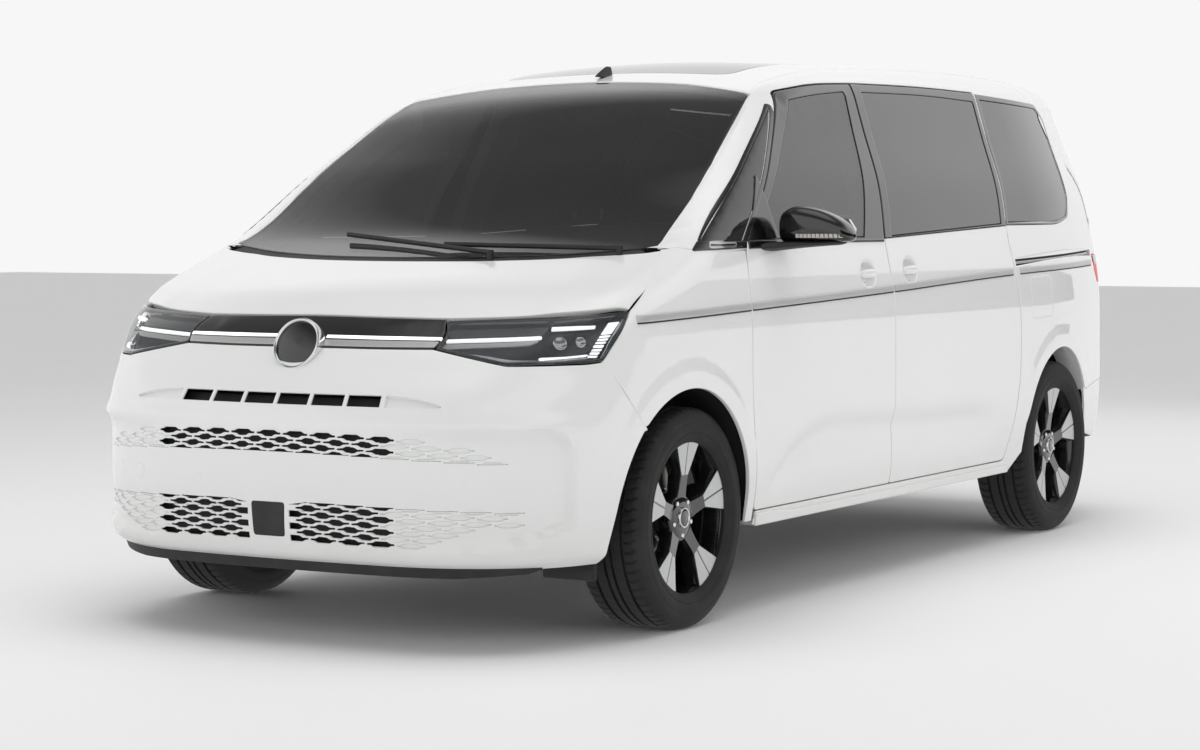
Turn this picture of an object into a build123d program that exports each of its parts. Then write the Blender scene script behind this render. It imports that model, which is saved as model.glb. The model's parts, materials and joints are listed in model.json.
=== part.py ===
from build123d import *
import os
import numpy as np

os.makedirs("parts", exist_ok=True)

# ---- driving dimensions (mm; X forward, Y left, Z up, origin on the ground under the middle)
LENGTH, WIDTH, HEIGHT = 4973.0, 1941.0, 1903.0
WHEELBASE, FRONT_OVERHANG = 3124.0, 930.0
TYRE_R, TYRE_W, RIM_R, WHEEL_Y = 347.0, 235.0, 259.0, 828.0
KINGPIN = 768.0                         # steering pins, from the middle line
XF = LENGTH / 2 - FRONT_OVERHANG        # front axle
XR = XF - WHEELBASE                     # rear axle

# ---- body form: stations along the body are measured forward from the front axle
ROOF = [(-4000, 1848), (-3500, 1884), (-2950, 1903), (-2200, 1893), (-1600, 1867), (-1100, 1838), (-700, 1787)]
SCREEN = [(-1200, 1843), (-800, 1714), (-400, 1485), (0, 1235), (300, 1113)]
BONNET = [(150, 1172), (400, 1105), (600, 1054), (790, 992)]
SIDE = [(200, 925), (500, 966), (760, 970.5), (1000, 964), (1200, 930), (1400, 885), (1600, 805), (1750, 747)]
NOSE = [(150, 845), (230, 885), (300, 912), (440, 928), (560, 928), (650, 925), (760, 893), (830, 862),
        (900, 846), (960, 812), (1010, 767), (1100, 680)]
NOSE_BOW = [(300, 0.10), (700, 0.14), (850, 0.16), (1000, 0.21)]
TAIL = [(200, 70), (300, 30), (450, 0), (700, 10), (1000, 18), (1200, 25), (1400, 50), (1600, 92), (1800, 135)]


def curve(points):
    """A smooth line through (position, value) points, straight beyond its ends."""
    t, v = np.array(sorted(points), float).T
    m = np.gradient(v, t)

    def at(q):
        q = np.asarray(q, float)
        i = np.clip(np.searchsorted(t, q) - 1, 0, len(t) - 2)
        h = t[i + 1] - t[i]
        u = np.clip((q - t[i]) / h, 0, 1)
        mid = ((2 * u**3 - 3 * u**2 + 1) * v[i] + (u**3 - 2 * u**2 + u) * h * m[i]
               + (3 * u**2 - 2 * u**3) * v[i + 1] + (u**3 - u**2) * h * m[i + 1])
        return mid + np.minimum(q - t[0], 0) * m[0] + np.maximum(q - t[-1], 0) * m[-1]
    return at


roof_z, screen_z, bonnet_z, side_y, nose_x, nose_bow, tail_x = map(
    curve, (ROOF, SCREEN, BONNET, SIDE, NOSE, NOSE_BOW, TAIL))


def join(a, b, k):
    """The larger of two distances, rounded where they cross over a width k."""
    h = np.maximum(k - np.abs(a - b), 0) / k
    return np.maximum(a, b) + h * h * k / 4


def body(x, y, z):
    """Distance outside the body form, negative inside."""
    y, s = np.abs(y), x - XF
    width = side_y(z) - 1.24e-4 * np.maximum(s + 100, 0)**2 - 1.18e-4 * np.maximum(-s - 2900, 0)**2
    hood = bonnet_z(np.clip(s + 0.20e-3 * y * y, -200, 1300)) - 2e-5 * y * y
    glass = screen_z(np.clip(s + 0.13e-3 * y * y, -1500, 500))
    top = -join(-join(hood, glass, 30), -(roof_z(s) - y * y / 10000), 120)
    f = join(y - width, 0.9 * (z - top), 90)
    bow = nose_bow(np.clip(z, 300, 1000))
    f = join(f, s - nose_x(z) + bow * 1e-3 * y * y, np.interp(z, [300, 700, 900, 1050], [430, 430, 430, 300]))
    tail = FRONT_OVERHANG - LENGTH + tail_x(z) + 1e-4 * y * y
    return join(f, tail - s, 200)


def trace(point, near, far, depth=0.0, steps=40):
    """Farthest point of each ray that is still deeper than this inside the body form."""
    lo, hi = near + 0.0, far + 0.0
    for _ in range(steps):
        mid = (lo + hi) / 2
        inside = body(*point(mid)) < -depth
        lo, hi = np.where(inside, mid, lo), np.where(inside, hi, mid)
    return np.stack(np.broadcast_arrays(*point(lo)), -1)


def across(s, angle, centre=700.0):
    """Grid over the body: angle in degrees from the left (0) over the top (90) to the right."""
    def at(depth):
        x, a = np.meshgrid(XF + np.asarray(s, float), np.radians(np.asarray(angle, float)), indexing="ij")
        return trace(lambda t: (x, t * np.cos(a), centre + t * np.sin(a)), 0 * x + 1, 0 * x + 1500, depth)
    return at


def around(s0, angle, z):
    """Grid round the body: angle in degrees about a vertical line at station s0, 0 is forward."""
    def at(depth):
        a, h = np.meshgrid(np.radians(np.asarray(angle, float)), np.asarray(z, float), indexing="ij")
        return trace(lambda t: (XF + s0 + t * np.cos(a), t * np.sin(a), h), 0 * h + 1, 0 * h + 2500, depth)
    return at


def lengthwise(s0, z0, y, angle):
    """Grid along the body: angle in degrees in the side view about (s0, z0), 0 is forward, 90 is up."""
    def at(depth):
        w, a = np.meshgrid(np.asarray(y, float), np.radians(np.asarray(angle, float)), indexing="ij")
        return trace(lambda t: (XF + s0 + t * np.cos(a), w, z0 + t * np.sin(a)), 0 * w + 1, 0 * w + 1600, depth)
    return at


def slab(grid, depth0, depth1):
    """The layer of the body between two depths."""
    grids = [grid(depth0), grid(depth1)]
    faces = [Face.make_surface_from_array_of_points([[Vector(*q) for q in row] for row in g.tolist()], tol=0.25)
             for g in grids]
    rims = []
    for f, g in zip(faces, grids):
        i, j = g.shape[0] // 2, g.shape[1] // 2
        rims.append([min(f.edges(), key=lambda e, c=c: (e.position_at(0.5) - Vector(*c)).length)
                     for c in (g[0, j], g[-1, j], g[i, 0], g[i, -1])])
    return Solid(Shell([*faces, *[Face.make_surface_from_curves(a, b) for a, b in zip(*rims)]]))


def prism(points, axis="Y", lo=100.0, hi=1300.0):
    """A prism from its outline: Y side view (station, z), X front view (y, z), Z plan (station, y)."""
    place, step = {"Y": (lambda a, b: (XF + a, lo, b), (0, hi - lo, 0)),
                   "X": (lambda a, b: (lo, a, b), (hi - lo, 0, 0)),
                   "Z": (lambda a, b: (XF + a, b, lo), (0, 0, hi - lo))}[axis]
    return Solid.extrude(Face(Wire.make_polygon([place(*p) for p in points], close=True)), Vector(*step))


def grown(points, d):
    """The same outline moved outward by d (inward when negative)."""
    p = np.array(points, float)
    a, b = p - np.roll(p, 1, 0), np.roll(p, -1, 0) - p
    n = [np.stack([v[:, 1], -v[:, 0]], 1) / np.linalg.norm(v, axis=1)[:, None] for v in (a, b)]
    turn = np.sign(np.sum(p[:, 0] * np.roll(p[:, 1], -1) - np.roll(p[:, 0], -1) * p[:, 1]))
    m = n[0] + n[1]
    return [tuple(q) for q in (p + turn * d * m * (2 / np.sum(m * m, 1))[:, None])]


def front_half(points):
    """A closed outline in a front view from its left half."""
    return points + [(-a, b) for a, b in reversed(points) if abs(a) > 1e-6]


def right(part):
    return mirror(part, about=Plane.XZ)


def both(part):
    return [part, right(part)]


def box(x0, x1, y0, y1, z0, z1):
    return Pos((x0 + x1) / 2, (y0 + y1) / 2, (z0 + z1) / 2) * Box(abs(x1 - x0), abs(y1 - y0), abs(z1 - z0))


def rod(r, a, b):
    a, b = Vector(*a), Vector(*b)
    return Solid.make_cylinder(r, (b - a).length, Plane(origin=a, z_dir=b - a))


def arch(s, y0, y1, half_length, height):
    """An elliptical wheel opening through the side, between two widths."""
    turn = np.radians(np.arange(3, 363, 6))
    return prism([(s + half_length * np.cos(a), TYRE_R + height * np.sin(a)) for a in turn], "Y", y0, y1)


def largest(part):
    return max(part.solids(), key=lambda s: s.volume)


def solids(part):
    return [s for p in part for s in solids(p)] if isinstance(part, (list, tuple)) else list(part.solids())


def save(name, part):
    parts = solids(part)
    export_step(parts[0] if len(parts) == 1 else Compound(children=[Solid(p.wrapped) for p in parts]),
                f"parts/{name}.step")
    print(name, len(parts), round(sum(p.volume for p in parts) / 1e6, 2), all(p.is_valid for p in parts), flush=True)


def surface_z(s, y=0.0):
    return float(trace(lambda t: (np.array([XF + s]), np.array([y]), 900 + t), np.array([0.0]), np.array([1200.0]))[0, 2])


def surface_y(s, z):
    return float(trace(lambda t: (np.array([XF + s]), t, np.array([z])), np.array([100.0]), np.array([1200.0]))[0, 1])


# ---- outlines in the side view (station, height)
GAP, SKIN, FRAME_DEPTH, DOOR_DEPTH, SIDE_DEPTH, SEAT_GAP = 5.0, 8.0, 30.0, 80.0, 95.0, 0.3
DOOR_FRONT_EDGE = [(-386, 1204), (-366, 1120), (-354, 976), (-352, 800), (-364, 620), (-392, 440), (-400, 334)]
FRONT_DOOR = DOOR_FRONT_EDGE + [(-1457, 334), (-1455, 1026), (-1441, 1198), (-1553, 1764), (-1250, 1750), (-950, 1712)]
SLIDE_DOOR = [(-1462, 334), (-2528, 334), (-2592, 470), (-2645, 640), (-2655, 860), (-2615, 1110), (-2598, 1235),
              (-2702, 1776), (-2200, 1778), (-1563, 1766), (-1450, 1198), (-1460, 1026)]
FRONT_GLASS = [(-436, 1210), (-1010, 1688), (-1220, 1714), (-1480, 1735), (-1400, 1480), (-1280, 1212)]
SLIDE_GLASS = [(-1510, 1214), (-2560, 1256), (-2612, 1500), (-2668, 1742), (-2200, 1750), (-1620, 1738)]
REAR_GLASS = [(-2630, 1262), (-3180, 1264), (-3340, 1290), (-3412, 1370), (-3440, 1560), (-3462, 1690), (-3400, 1740),
              (-2738, 1752), (-2680, 1500)]
QUARTER_GLASS = [(-100, 1204), (-350, 1202), (-836, 1640), (-846, 1654), (-560, 1490), (-290, 1322)]
OPEN_FRONT = [(-470, 372), (-1388, 372), (-1384, 1030), (-1372, 1198), (-1470, 1720), (-1010, 1690), (-446, 1205)]
OPEN_SLIDE = [(-1530, 372), (-2488, 372), (-2532, 480), (-2578, 650), (-2586, 850), (-2548, 1110), (-2545, 1240),
              (-2640, 1735), (-1640, 1728), (-1524, 1198)]
DEEP_FRONT = [(-480, 385), (-1376, 385), (-1374, 1030), (-1360, 1170), (-480, 1170)]
DEEP_SLIDE = [(-1542, 385), (-2476, 385), (-2520, 480), (-2566, 650), (-2574, 850), (-2536, 1110), (-2533, 1190),
              (-1536, 1165), (-1542, 1030)]
WINDSCREEN = [(10, 822), (-430, 775), (-866, 692), (-940, 400), (-968, 0), (-940, -400), (-866, -692), (-430, -775),
              (10, -822), (130, -560), (205, -280), (228, 0), (205, 280), (130, 560)]
RAIL_SLOT = [(-2640, 1092), (-2640, 1118), (-3668, 1146), (-3668, 1120)]
STRIP = [(352, 962), (-1456, 1016), (-2597, 1056), (-3640, 1078), (-3640, 1100), (-2597, 1080), (-1456, 1042),
         (352, 988)]
TAIL_LAMP = [(-3685, 1128), (-3702, 1060), (-3740, 1000), (-4100, 1000), (-4100, 1128)]
ROOF_REAR, ROOF_EDGE = -3784, 660.0
TAILGATE = front_half([(0, 612), (812, 612), (836, 900), (830, 1250), (778, 1560), (728, 1730), (700, 1790), (690, 1900),
                       (0, 1900)])
TAIL_GLASS = front_half([(0, 1290), (772, 1290), (735, 1530), (682, 1712), (0, 1722)])
GATE_SIDE = [(ROOF_REAR, 1950), (ROOF_REAR, 1700), (-3600, 1640), (-3600, 500), (-4200, 500), (-4200, 1950)]
FRONT_ARCH, REAR_ARCH = (45, 395, 410), (-WHEELBASE + 15, 395, 410)

# ---- doors
wide = across(np.linspace(-3960, 120, 45), np.linspace(-27, 64, 44))
doors = across(np.linspace(-2800, -280, 30), np.linspace(-25, 62, 40))
layer = slab(doors, 0, FRAME_DEPTH)
deep = slab(doors, FRAME_DEPTH - 2, DOOR_DEPTH)
raised = slab(across(np.linspace(-3660, 400, 60), np.linspace(12, 28, 12)), -3, 5)


def grip(s, z):
    """A bowl to cut from a door and the grip bar that bridges it."""
    bar = slab(across(np.linspace(s - 110, s + 110, 6), np.linspace(18, 32, 6)), -8, 6)
    bar = bar & prism([(s - 92, z - 13), (s + 92, z - 13), (s + 92, z + 13), (s - 92, z + 13)])
    return Pos(XF + s, surface_y(s, z) + 45, z) * Sphere(62), bar


def door_part(outline, deep_outline, glass, handle, strip_ends):
    bowl, bar = grip(*handle)
    part = (layer & prism(outline, lo=ROOF_EDGE + 2)) + (deep & prism(deep_outline)) - prism(glass, lo=500) - bowl
    s0, s1 = strip_ends
    ridge = raised & prism(STRIP) & prism([(s0, 900), (s1, 900), (s1, 1200), (s0, 1200)])
    return largest(largest(part) + bar + ridge)


door_left = door_part(FRONT_DOOR, DEEP_FRONT, FRONT_GLASS, (-1263, 1085), (-1453, -358))
slide_left = door_part(SLIDE_DOOR, DEEP_SLIDE, SLIDE_GLASS, (-1622, 1092), (-2598, -1464))
for s in (-1700, -2300):
    slide_left = slide_left + box(XF + s - 30, XF + s + 30, surface_y(s, 334) - 26, surface_y(s, 334) - 8, 329, 336)
save("front_door_left", door_left)
save("front_door_right", right(door_left))
save("sliding_doors", both(largest(slide_left)))
pane = slab(doors, 3, 8)
door_glass = largest(pane & prism(FRONT_GLASS, lo=500))
save("front_door_glass_left", door_glass)
save("front_door_glass_right", right(door_glass))
save("sliding_door_glass", both(largest(pane & prism(SLIDE_GLASS, lo=500))))

# ---- body side: the doors are let in over a seal flange, with a cut through inside it
side_outline = [(30, 1190), (-866, 1712), (-900, 1790), (-1600, 1835), (-2600, 1850), (-3600, 1840), (-3760, 1815),
                (-3952, 1500), (-3952, 606), (-3440, 560), (-2800, 400), (-2590, 283), (-425, 283), (-425, 770),
                (-262, 800), (-255, 1120)]
side = slab(wide, 0, SIDE_DEPTH) & prism(side_outline)
side = side - prism(WINDSCREEN, "Z", 1100, 1900)
side = side - prism([(-4000, 0), (-4000, ROOF_EDGE), (200, ROOF_EDGE), (200, 0)], "Z", 200, 2000)
recess = slab(doors, -15, FRAME_DEPTH + 8)
side = side - (recess & prism(grown(FRONT_DOOR, GAP))) - (recess & prism(grown(SLIDE_DOOR, GAP)))
WING_TOP = [(-372, 1178), (-60, 1172), (26, 1183)]
wing_recess = slab(across(np.linspace(-440, 110, 12), np.linspace(-27, 62, 40)), -15, SKIN + 5)
side = side - (wing_recess & prism([(-420, 200), *DOOR_FRONT_EDGE[:0:-1], *WING_TOP, (110, 1190), (110, 200)]))
for hole in (OPEN_FRONT, OPEN_SLIDE, REAR_GLASS, QUARTER_GLASS):
    side = side - prism(hole)
side = side - arch(REAR_ARCH[0], 500, 1100, *REAR_ARCH[1:])
HINGE = (XF - 452, 938.0)
rail_grid = across(np.linspace(-3720, -2600, 24), np.linspace(14, 34, 12))
side = side - Pos(*HINGE, 760) * Cylinder(112, 852) - (slab(rail_grid, -15, 24) & prism(RAIL_SLOT))
side = side - (Pos(*HINGE, 1230) * Cylinder(84, 92) & box(XF - 600, XF - 300, 700, 897, 1180, 1280))
side = side - (prism(grown(TAILGATE, GAP), "X", XR - 1100, XR - 300) & prism(GATE_SIDE, lo=0))
side = side - prism(TAIL_LAMP)
side = largest(side) + (raised & prism(STRIP) & prism([(-3636, 900), (-2672, 900), (-2672, 1200), (-3636, 1200)]))
save("body_side_left", largest(side))
save("body_side_right", right(largest(side)))
fixed = slab(across(np.linspace(-3700, 60, 40), np.linspace(8, 62, 30)), 3, 8)
save("fixed_side_glass", [both(largest(fixed & prism(REAR_GLASS))), both(largest(fixed & prism(QUARTER_GLASS)))])
lamp_layer = slab(around(-3000, np.linspace(100, 176, 30), np.linspace(985, 1140, 6)), 0, 40)
lamp_region = prism(TAIL_LAMP) - prism(grown(TAILGATE, GAP), "X", XR - 1100, XR - 300)
save("tail_lamps", both(largest(lamp_layer & lamp_region)))

# ---- front wings
wing = slab(across(np.linspace(-430, 560, 30), np.linspace(-25, 45, 40)), 0, SKIN)
wing_front = [(352, 1004), (486, 853), (300, 640), (250, 320)]
wing_edge = [(a + GAP, b) for a, b in DOOR_FRONT_EDGE[:0:-1]] + [(-367, 1177.9)]
wing = wing & prism([*wing_front, *wing_edge, *WING_TOP[1:]], lo=840)
wing = wing - arch(FRONT_ARCH[0], 500, 1100, *FRONT_ARCH[1:])
wing = largest(wing) + (raised & prism(STRIP) & prism([(-348, 900), (342, 900), (342, 1200), (-348, 1200)]))
save("front_wings", both(largest(wing)))


# ---- windscreen, roof, bonnet
screen = slab(across(np.linspace(-1060, 300, 30), np.linspace(22, 158, 49)), 3, 9)
save("windscreen", largest(screen & prism(WINDSCREEN, "Z", 900, 1900)))
SCREEN_TOP = [(-866, 692), (-940, 400), (-968, 0), (-940, -400), (-866, -692)]
ROOF_HOLE = [(-1120, 470), (-1140, 0), (-1120, -470), (-3300, -470), (-3300, 470)]
roof_grid = across(np.linspace(-3860, -840, 40), np.linspace(50, 130, 33))
roof = slab(roof_grid, 0, 26) & prism(SCREEN_TOP + [(ROOF_REAR, -692), (ROOF_REAR, 692)], "Z", 1500, 2000)
roof = roof & prism([(-800, ROOF_EDGE), (-800, -ROOF_EDGE), (-3900, -ROOF_EDGE), (-3900, ROOF_EDGE)], "Z", 1500, 2000)
roof = roof - (slab(roof_grid, -15, 9) & prism(ROOF_HOLE, "Z", 1500, 2000))
roof = roof - prism([(-1240, 380), (-1240, -380), (-3200, -380), (-3200, 380)], "Z", 1500, 2000)
roof = roof - prism([(a, b + 2.4 * GAP) for a, b in GATE_SIDE[1:3]] + [(-3600, 1500), (ROOF_REAR, 1500)], "Y", -1000, 1000)
save("roof_panel", largest(roof))
save("roof_glass", largest(slab(roof_grid, 1, 8.6) & prism(ROOF_HOLE, "Z", 1500, 2000)))
BONNET_REAR = [(30, 884), (60, 850), (172, 560), (246, 280), (268, 0)]
bonnet_plan = BONNET_REAR + [(a, -b) for a, b in BONNET_REAR[-2::-1]] + [(900, -960), (900, 960)]
bonnet = slab(across(np.linspace(0, 700, 24), np.linspace(8, 172, 57)), 0, 20)
bonnet = bonnet & prism([(900, 1004), (560, 1004), (358, 1010), (31, 1190), (31, 1300), (900, 1300)], "Y", -1100, 1100)
save("bonnet", largest(bonnet & prism(bonnet_plan, "Z", 900, 1400)))

# ---- nose: bumper skin, lamps and the dark band between them
nose = around(-900, np.linspace(-100, 100, 61), np.linspace(238, 905, 34))
bumper = slab(nose, 0, SKIN) & prism([(486, 853), (715, 897), (1200, 897), (1200, 240), (450, 240), (300, 420),
                                      (300, 640)], "Y", -1100, 1100)
for y0 in (500, -1100):
    bumper = bumper - arch(FRONT_ARCH[0], y0, y0 + 600, *FRONT_ARCH[1:])
badge_plane = Plane(origin=(XF + 770, 0, 899), x_dir=(0, 1, 0), z_dir=(1, 0, 0.42))
badge_hole = Solid.make_cylinder(84, 160, badge_plane.offset(-90))
SLOT, HONEY, HONEY_LOW = (-372, 372, 723, 759), (-400, 400, 586, 652), (-415, 415, 318, 450)
for y0, y1, z0, z1 in (SLOT, HONEY, HONEY_LOW):
    bumper = bumper - box(XF + 500, XF + 1100, y0, y1, z0, z1)
save("front_bumper", largest(bumper - badge_hole))
grille = slab(around(-900, np.linspace(-30, 30, 25), np.linspace(280, 800, 20)), SKIN + 2 * SEAT_GAP, SKIN + 14)
save("front_grille", [largest(grille & box(XF + 400, XF + 1100, y0 - 12, y1 + 12, z0 - 12, z1 + 12))
                      for y0, y1, z0, z1 in (SLOT, HONEY, HONEY_LOW)])
band = slab(around(-900, np.linspace(-66, 66, 49), np.linspace(840, 1015, 12)), 4, 46)
band = band & prism([(486, 853), (715, 897), (1200, 897), (1200, 998), (560, 998), (352, 1004)], "Y", -1100, 1100)
LAMP_INNER = [(462, 840), (462, 900), (548, 1030), (1200, 1030), (1200, 840)]
lamp = largest(band & prism(LAMP_INNER, "X", 500, 2600))
stop = slab(around(-900, np.linspace(-40, 40, 25), np.linspace(980, 1020, 6)), 8, 16)
save("headlamps", both(largest(lamp + (stop & box(XF + 300, XF + 900, 560, 600, 994, 1004 - SEAT_GAP)))))
bar = band - prism(LAMP_INNER, "X", 500, 2600) - prism([(-a, b) for a, b in LAMP_INNER], "X", 500, 2600)
save("light_bar", largest(bar - badge_hole))
save("badge", Solid.make_cylinder(84 - SEAT_GAP, 70, badge_plane.offset(-66)))

# ---- cowl and wipers
COWL_BACK = [(34.7, 769), (130.7, 560), (205.7, 280), (228.7, 0)]
COWL_FRONT = [(40, 790), (54, 800), (166, 554), (240, 280), (262, 0)]
cowl_plan = (COWL_FRONT + [(a, -b) for a, b in COWL_FRONT[-2::-1]] + [(a, -b) for a, b in COWL_BACK]
             + COWL_BACK[-2::-1])
WIPERS = [(208, 330, 50, -330), (90, 730, 150, 120)]
cowl = slab(across(np.linspace(-10, 290, 14), np.linspace(26, 154, 41)), 4, 40) & prism(cowl_plan, "Z", 900, 1400)
for s, y, *_ in WIPERS:
    z = surface_z(s, y) - 12
    cowl = cowl - rod(11 + SEAT_GAP, (XF + s, y, z - SEAT_GAP), (XF + s, y, z + 60))
save("cowl", largest(cowl))


def wiper(s0, y0, s1, y1, lift=19.0):
    a, b = [Vector(XF + s, y, surface_z(s, y) + lift) for s, y in ((s0, y0), (s1, y1))]
    return rod(8, a, b) + rod(11, (a.X, a.Y, a.Z - lift - 12), (a.X, a.Y, a.Z + 8))


save("wipers", [wiper(*w) for w in WIPERS])

# ---- rear: tailgate, its glass, bumper
gate_grid = lengthwise(-3300, 1200, np.linspace(-850, 850, 41), np.linspace(104, 226, 37))
gate_region = (prism([(a - 6 if a == ROOF_REAR else a, b) for a, b in GATE_SIDE], "Y", -1000, 1000)
               & prism(TAILGATE, "X", XR - 1100, XR - 300))
gate = slab(gate_grid, 0, 42) & gate_region
glass_cut = prism(TAIL_GLASS, "X", XR - 1100, XR - 500)
LAMP_INSET = [(560, 1005), (824, 1005), (822, 1122), (560, 1122)]
lamp_cut = prism(LAMP_INSET, "X", XR - 1100, XR - 700)
inset = slab(gate_grid, -15, 22)
save("tailgate", largest(gate - glass_cut - (inset & (lamp_cut + right(lamp_cut)))))
save("tailgate_glass", largest(slab(gate_grid, 3, 9) & glass_cut & gate_region))
save("tailgate_lamps", both(largest(slab(gate_grid, 0, 21.6) & lamp_cut)))
tail = around(-2900, np.linspace(112, 248, 45), np.linspace(282, 615, 14))
rear_bumper = slab(tail, 0, 10) & prism([(-3440, 560), (-3960, 606), (-4200, 606), (-4200, 290), (-3440, 290)], "Y",
                                        -1100, 1100)
for y0 in (500, -1100):
    rear_bumper = rear_bumper - arch(REAR_ARCH[0], y0, y0 + 600, *REAR_ARCH[1:])
save("rear_bumper", largest(rear_bumper))
sill = slab(across(np.linspace(-2660, -300, 24), np.linspace(-27, -18, 8)), -9, -SEAT_GAP)
save("sill_trims", both(largest(sill & prism([(-416, 286), (-2570, 286), (-2560, 322), (-404, 322)]))))
save("slide_rails", both(largest(slab(rail_grid, 10, 24 - SEAT_GAP) & prism(grown(RAIL_SLOT, -6)))))

# ---- mirrors on the front doors
mirror_shell = fillet((Pos(XF - 604, 1078, 1259) * Rot(0, 0, 14) * Box(124, 236, 118)).edges(), 34)
mirror_foot = Pos(XF - 560, 975, 1204) * Box(90, 90, 22)
mirror_left = largest(mirror_shell + mirror_foot - prism([(-300, 1100), (-1000, 1100), (-1000, 1300), (-300, 1300)],
                                                         lo=600, hi=surface_y(-560, 1193) + SEAT_GAP))
save("mirror_left", mirror_left)
save("mirror_right", right(mirror_left))

# ---- underbody: floor, bulkhead, front legs, strut towers and bumper beam in one pressing
FLOOR_LO, FLOOR_HI = 300.0, 360.0
frame = box(XF - 3560, XF - 240, -844.8, 844.8, FLOOR_LO, FLOOR_HI) + box(XF - 3800, XF - 3550, -770, 770, FLOOR_LO, FLOOR_HI)
frame = frame + box(XF - 240, XF - 200, -480, 480, FLOOR_LO, 1020)
for y in (1, -1):
    frame = frame - box(XR - 425, XR + 425, y * 570, y * 900, 200, 500) - box(XF - 440, XF, y * 480, y * 900, 200, 500)
    frame = frame + box(XF - 210, XF + 790, y * 385, y * 445, 430, 520)
    frame = frame + box(XF - 110, XF + 110, y * 430, y * 700, 880, 900) + box(XF - 110, XF + 110, y * 430, y * 445, 500, 890)
frame = frame + box(XF + 785, XF + 825, -540, 540, 420, 530)
save("underbody", largest(frame))
save("radiator", box(XF + 700, XF + 740, -384.7, 384.7, 300, 700))
save("engine", box(XF - 60, XF + 600, -384.7, 384.7, 330, 860))
subframe = box(XF - 80, XF + 80, -500, 500, 230, 290)
for y in (1, -1):
    subframe = subframe + box(XF - 40, XF + 40, y * 490, y * KINGPIN, 240, 280)
    subframe = subframe + rod(22, (XF, y * KINGPIN, 240), (XF, y * KINGPIN, TYRE_R - 62 - SEAT_GAP))
    subframe = subframe + box(XF - 30, XF + 30, y * 390, y * 440, 280, 429.7)
save("front_subframe", largest(subframe))
for n, y in (("left", 1), ("right", -1)):
    knuckle = rod(62, (XF, y * 712, TYRE_R), (XF, y * 834, TYRE_R)) + box(XF - 30, XF + 30, y * 704, y * 790, 290, 440)
    save(f"knuckle_{n}", largest(knuckle + rod(30, (XF, y * 830, TYRE_R), (XF, y * 870, TYRE_R))))
save("struts", [rod(26, (XF, y * 645, 470), (XF, y * 645, 879.7)) + rod(40, (XF, y * 645, 560), (XF, y * 645, 720))
                for y in (1, -1)])
axle = rod(40, (XR, -700, 250), (XR, 700, 250))
for y in (1, -1):
    axle = axle + rod(62, (XR, y * 690, TYRE_R), (XR, y * 834, TYRE_R)) + rod(30, (XR, y * 830, TYRE_R), (XR, y * 870, TYRE_R))
    axle = axle + box(XR - 35, XR + 35, y * 670, y * 705, 240, 350) + box(XR, XR + 470, y * 480, y * 540, 230, 299.7)
save("rear_axle", largest(axle))


# ---- wheels
def wheel_parts():
    """Tyre and rim about the origin, axle along Y, outer face towards +Y."""
    half, bead = TYRE_W / 2, RIM_R - 20
    tyre_half = [(bead, half - 14), (RIM_R + 4, half - 6), (300, half), (TYRE_R - 16, half - 6), (TYRE_R - 3, half - 22),
                 (TYRE_R, half - 44)]
    tyre_profile = [(r, -a) for r, a in tyre_half] + tyre_half[::-1]
    rim_profile = [(bead, 14 - half), (RIM_R, 12 - half), (RIM_R, 4 - half), (RIM_R - 10, 4 - half), (RIM_R - 34, 16 - half),
                   (RIM_R - 40, -20), (RIM_R - 30, half - 30), (RIM_R - 12, half - 4), (RIM_R, half - 4),
                   (RIM_R, half - 12), (bead, half - 14)]

    def spin(profile):
        face = Face(Wire.make_polygon([(r, a, 0) for r, a in profile], close=True))
        return Solid.revolve(face, 360, Axis((0, 0, 0), (0, 1, 0)))
    tyre, barrel = spin(tyre_profile), spin(rim_profile)
    rim = barrel + rod(78, (0, 34, 0), (0, 76, 0))
    spoke = [(-34, 40, 60), (34, 40, 60), (62, 40, 226), (-62, 40, 226)]
    for k in range(5):
        rim = rim + Rot(0, 72 * k, 0) * Solid.extrude(Face(Wire.make_polygon(spoke, close=True)), Vector(0, 40, 0))
    return largest(tyre - barrel), largest(rim - rod(30 + SEAT_GAP, (0, 20, 0), (0, 50, 0)))


tyre, rim = wheel_parts()
for n, x, y in (("front_left", XF, WHEEL_Y), ("front_right", XF, -WHEEL_Y), ("rear_left", XR, WHEEL_Y),
                ("rear_right", XR, -WHEEL_Y)):
    turn = Pos(x, y, TYRE_R) * Rot(0, 0, 0 if y > 0 else 180)
    save(f"tyre_{n}", turn * tyre)
    save(f"rim_{n}", turn * rim)

# ---- cabin
WHEEL_AT = Vector(XF - 640, 400, 1010)
DASH = [(-380, 700), (-240.3, 700), (-240.3, 1020.3), (130, 1020.3), (150, 1080), (-420, 1085), (-520, 1000), (-470, 860)]
column = (Vector(XF - 440, 400, 930) - WHEEL_AT).normalized()
dash = prism(DASH, "Y", -760, 760) + rod(28, WHEEL_AT + column * (20 + SEAT_GAP), Vector(XF - 440, 400, 930))
save("dashboard", largest(dash))
ring = Plane(origin=WHEEL_AT, z_dir=column)
save("steering_wheel", largest(ring * Torus(178, 14) + ring * Pos(0, 0, 10) * Box(344, 40, 14) + ring * Cylinder(48, 40)))


def seat(x, y, width):
    part = box(x - 320, x + 250, y - width / 2, y + width / 2, 520, 660)
    part = part + box(x - 190, x + 190, y - width / 2 + 60, y + width / 2 - 60, FLOOR_HI + SEAT_GAP, 520)
    for size, up in (((120, width, 660), 330), ((20, 120, 80), 690), ((90, 250, 170), 790)):
        part = part + Pos(x - 250, y, 650) * Rot(0, -16, 0) * Pos(-60, 0, up) * Box(*size)
    return largest(part)


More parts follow.
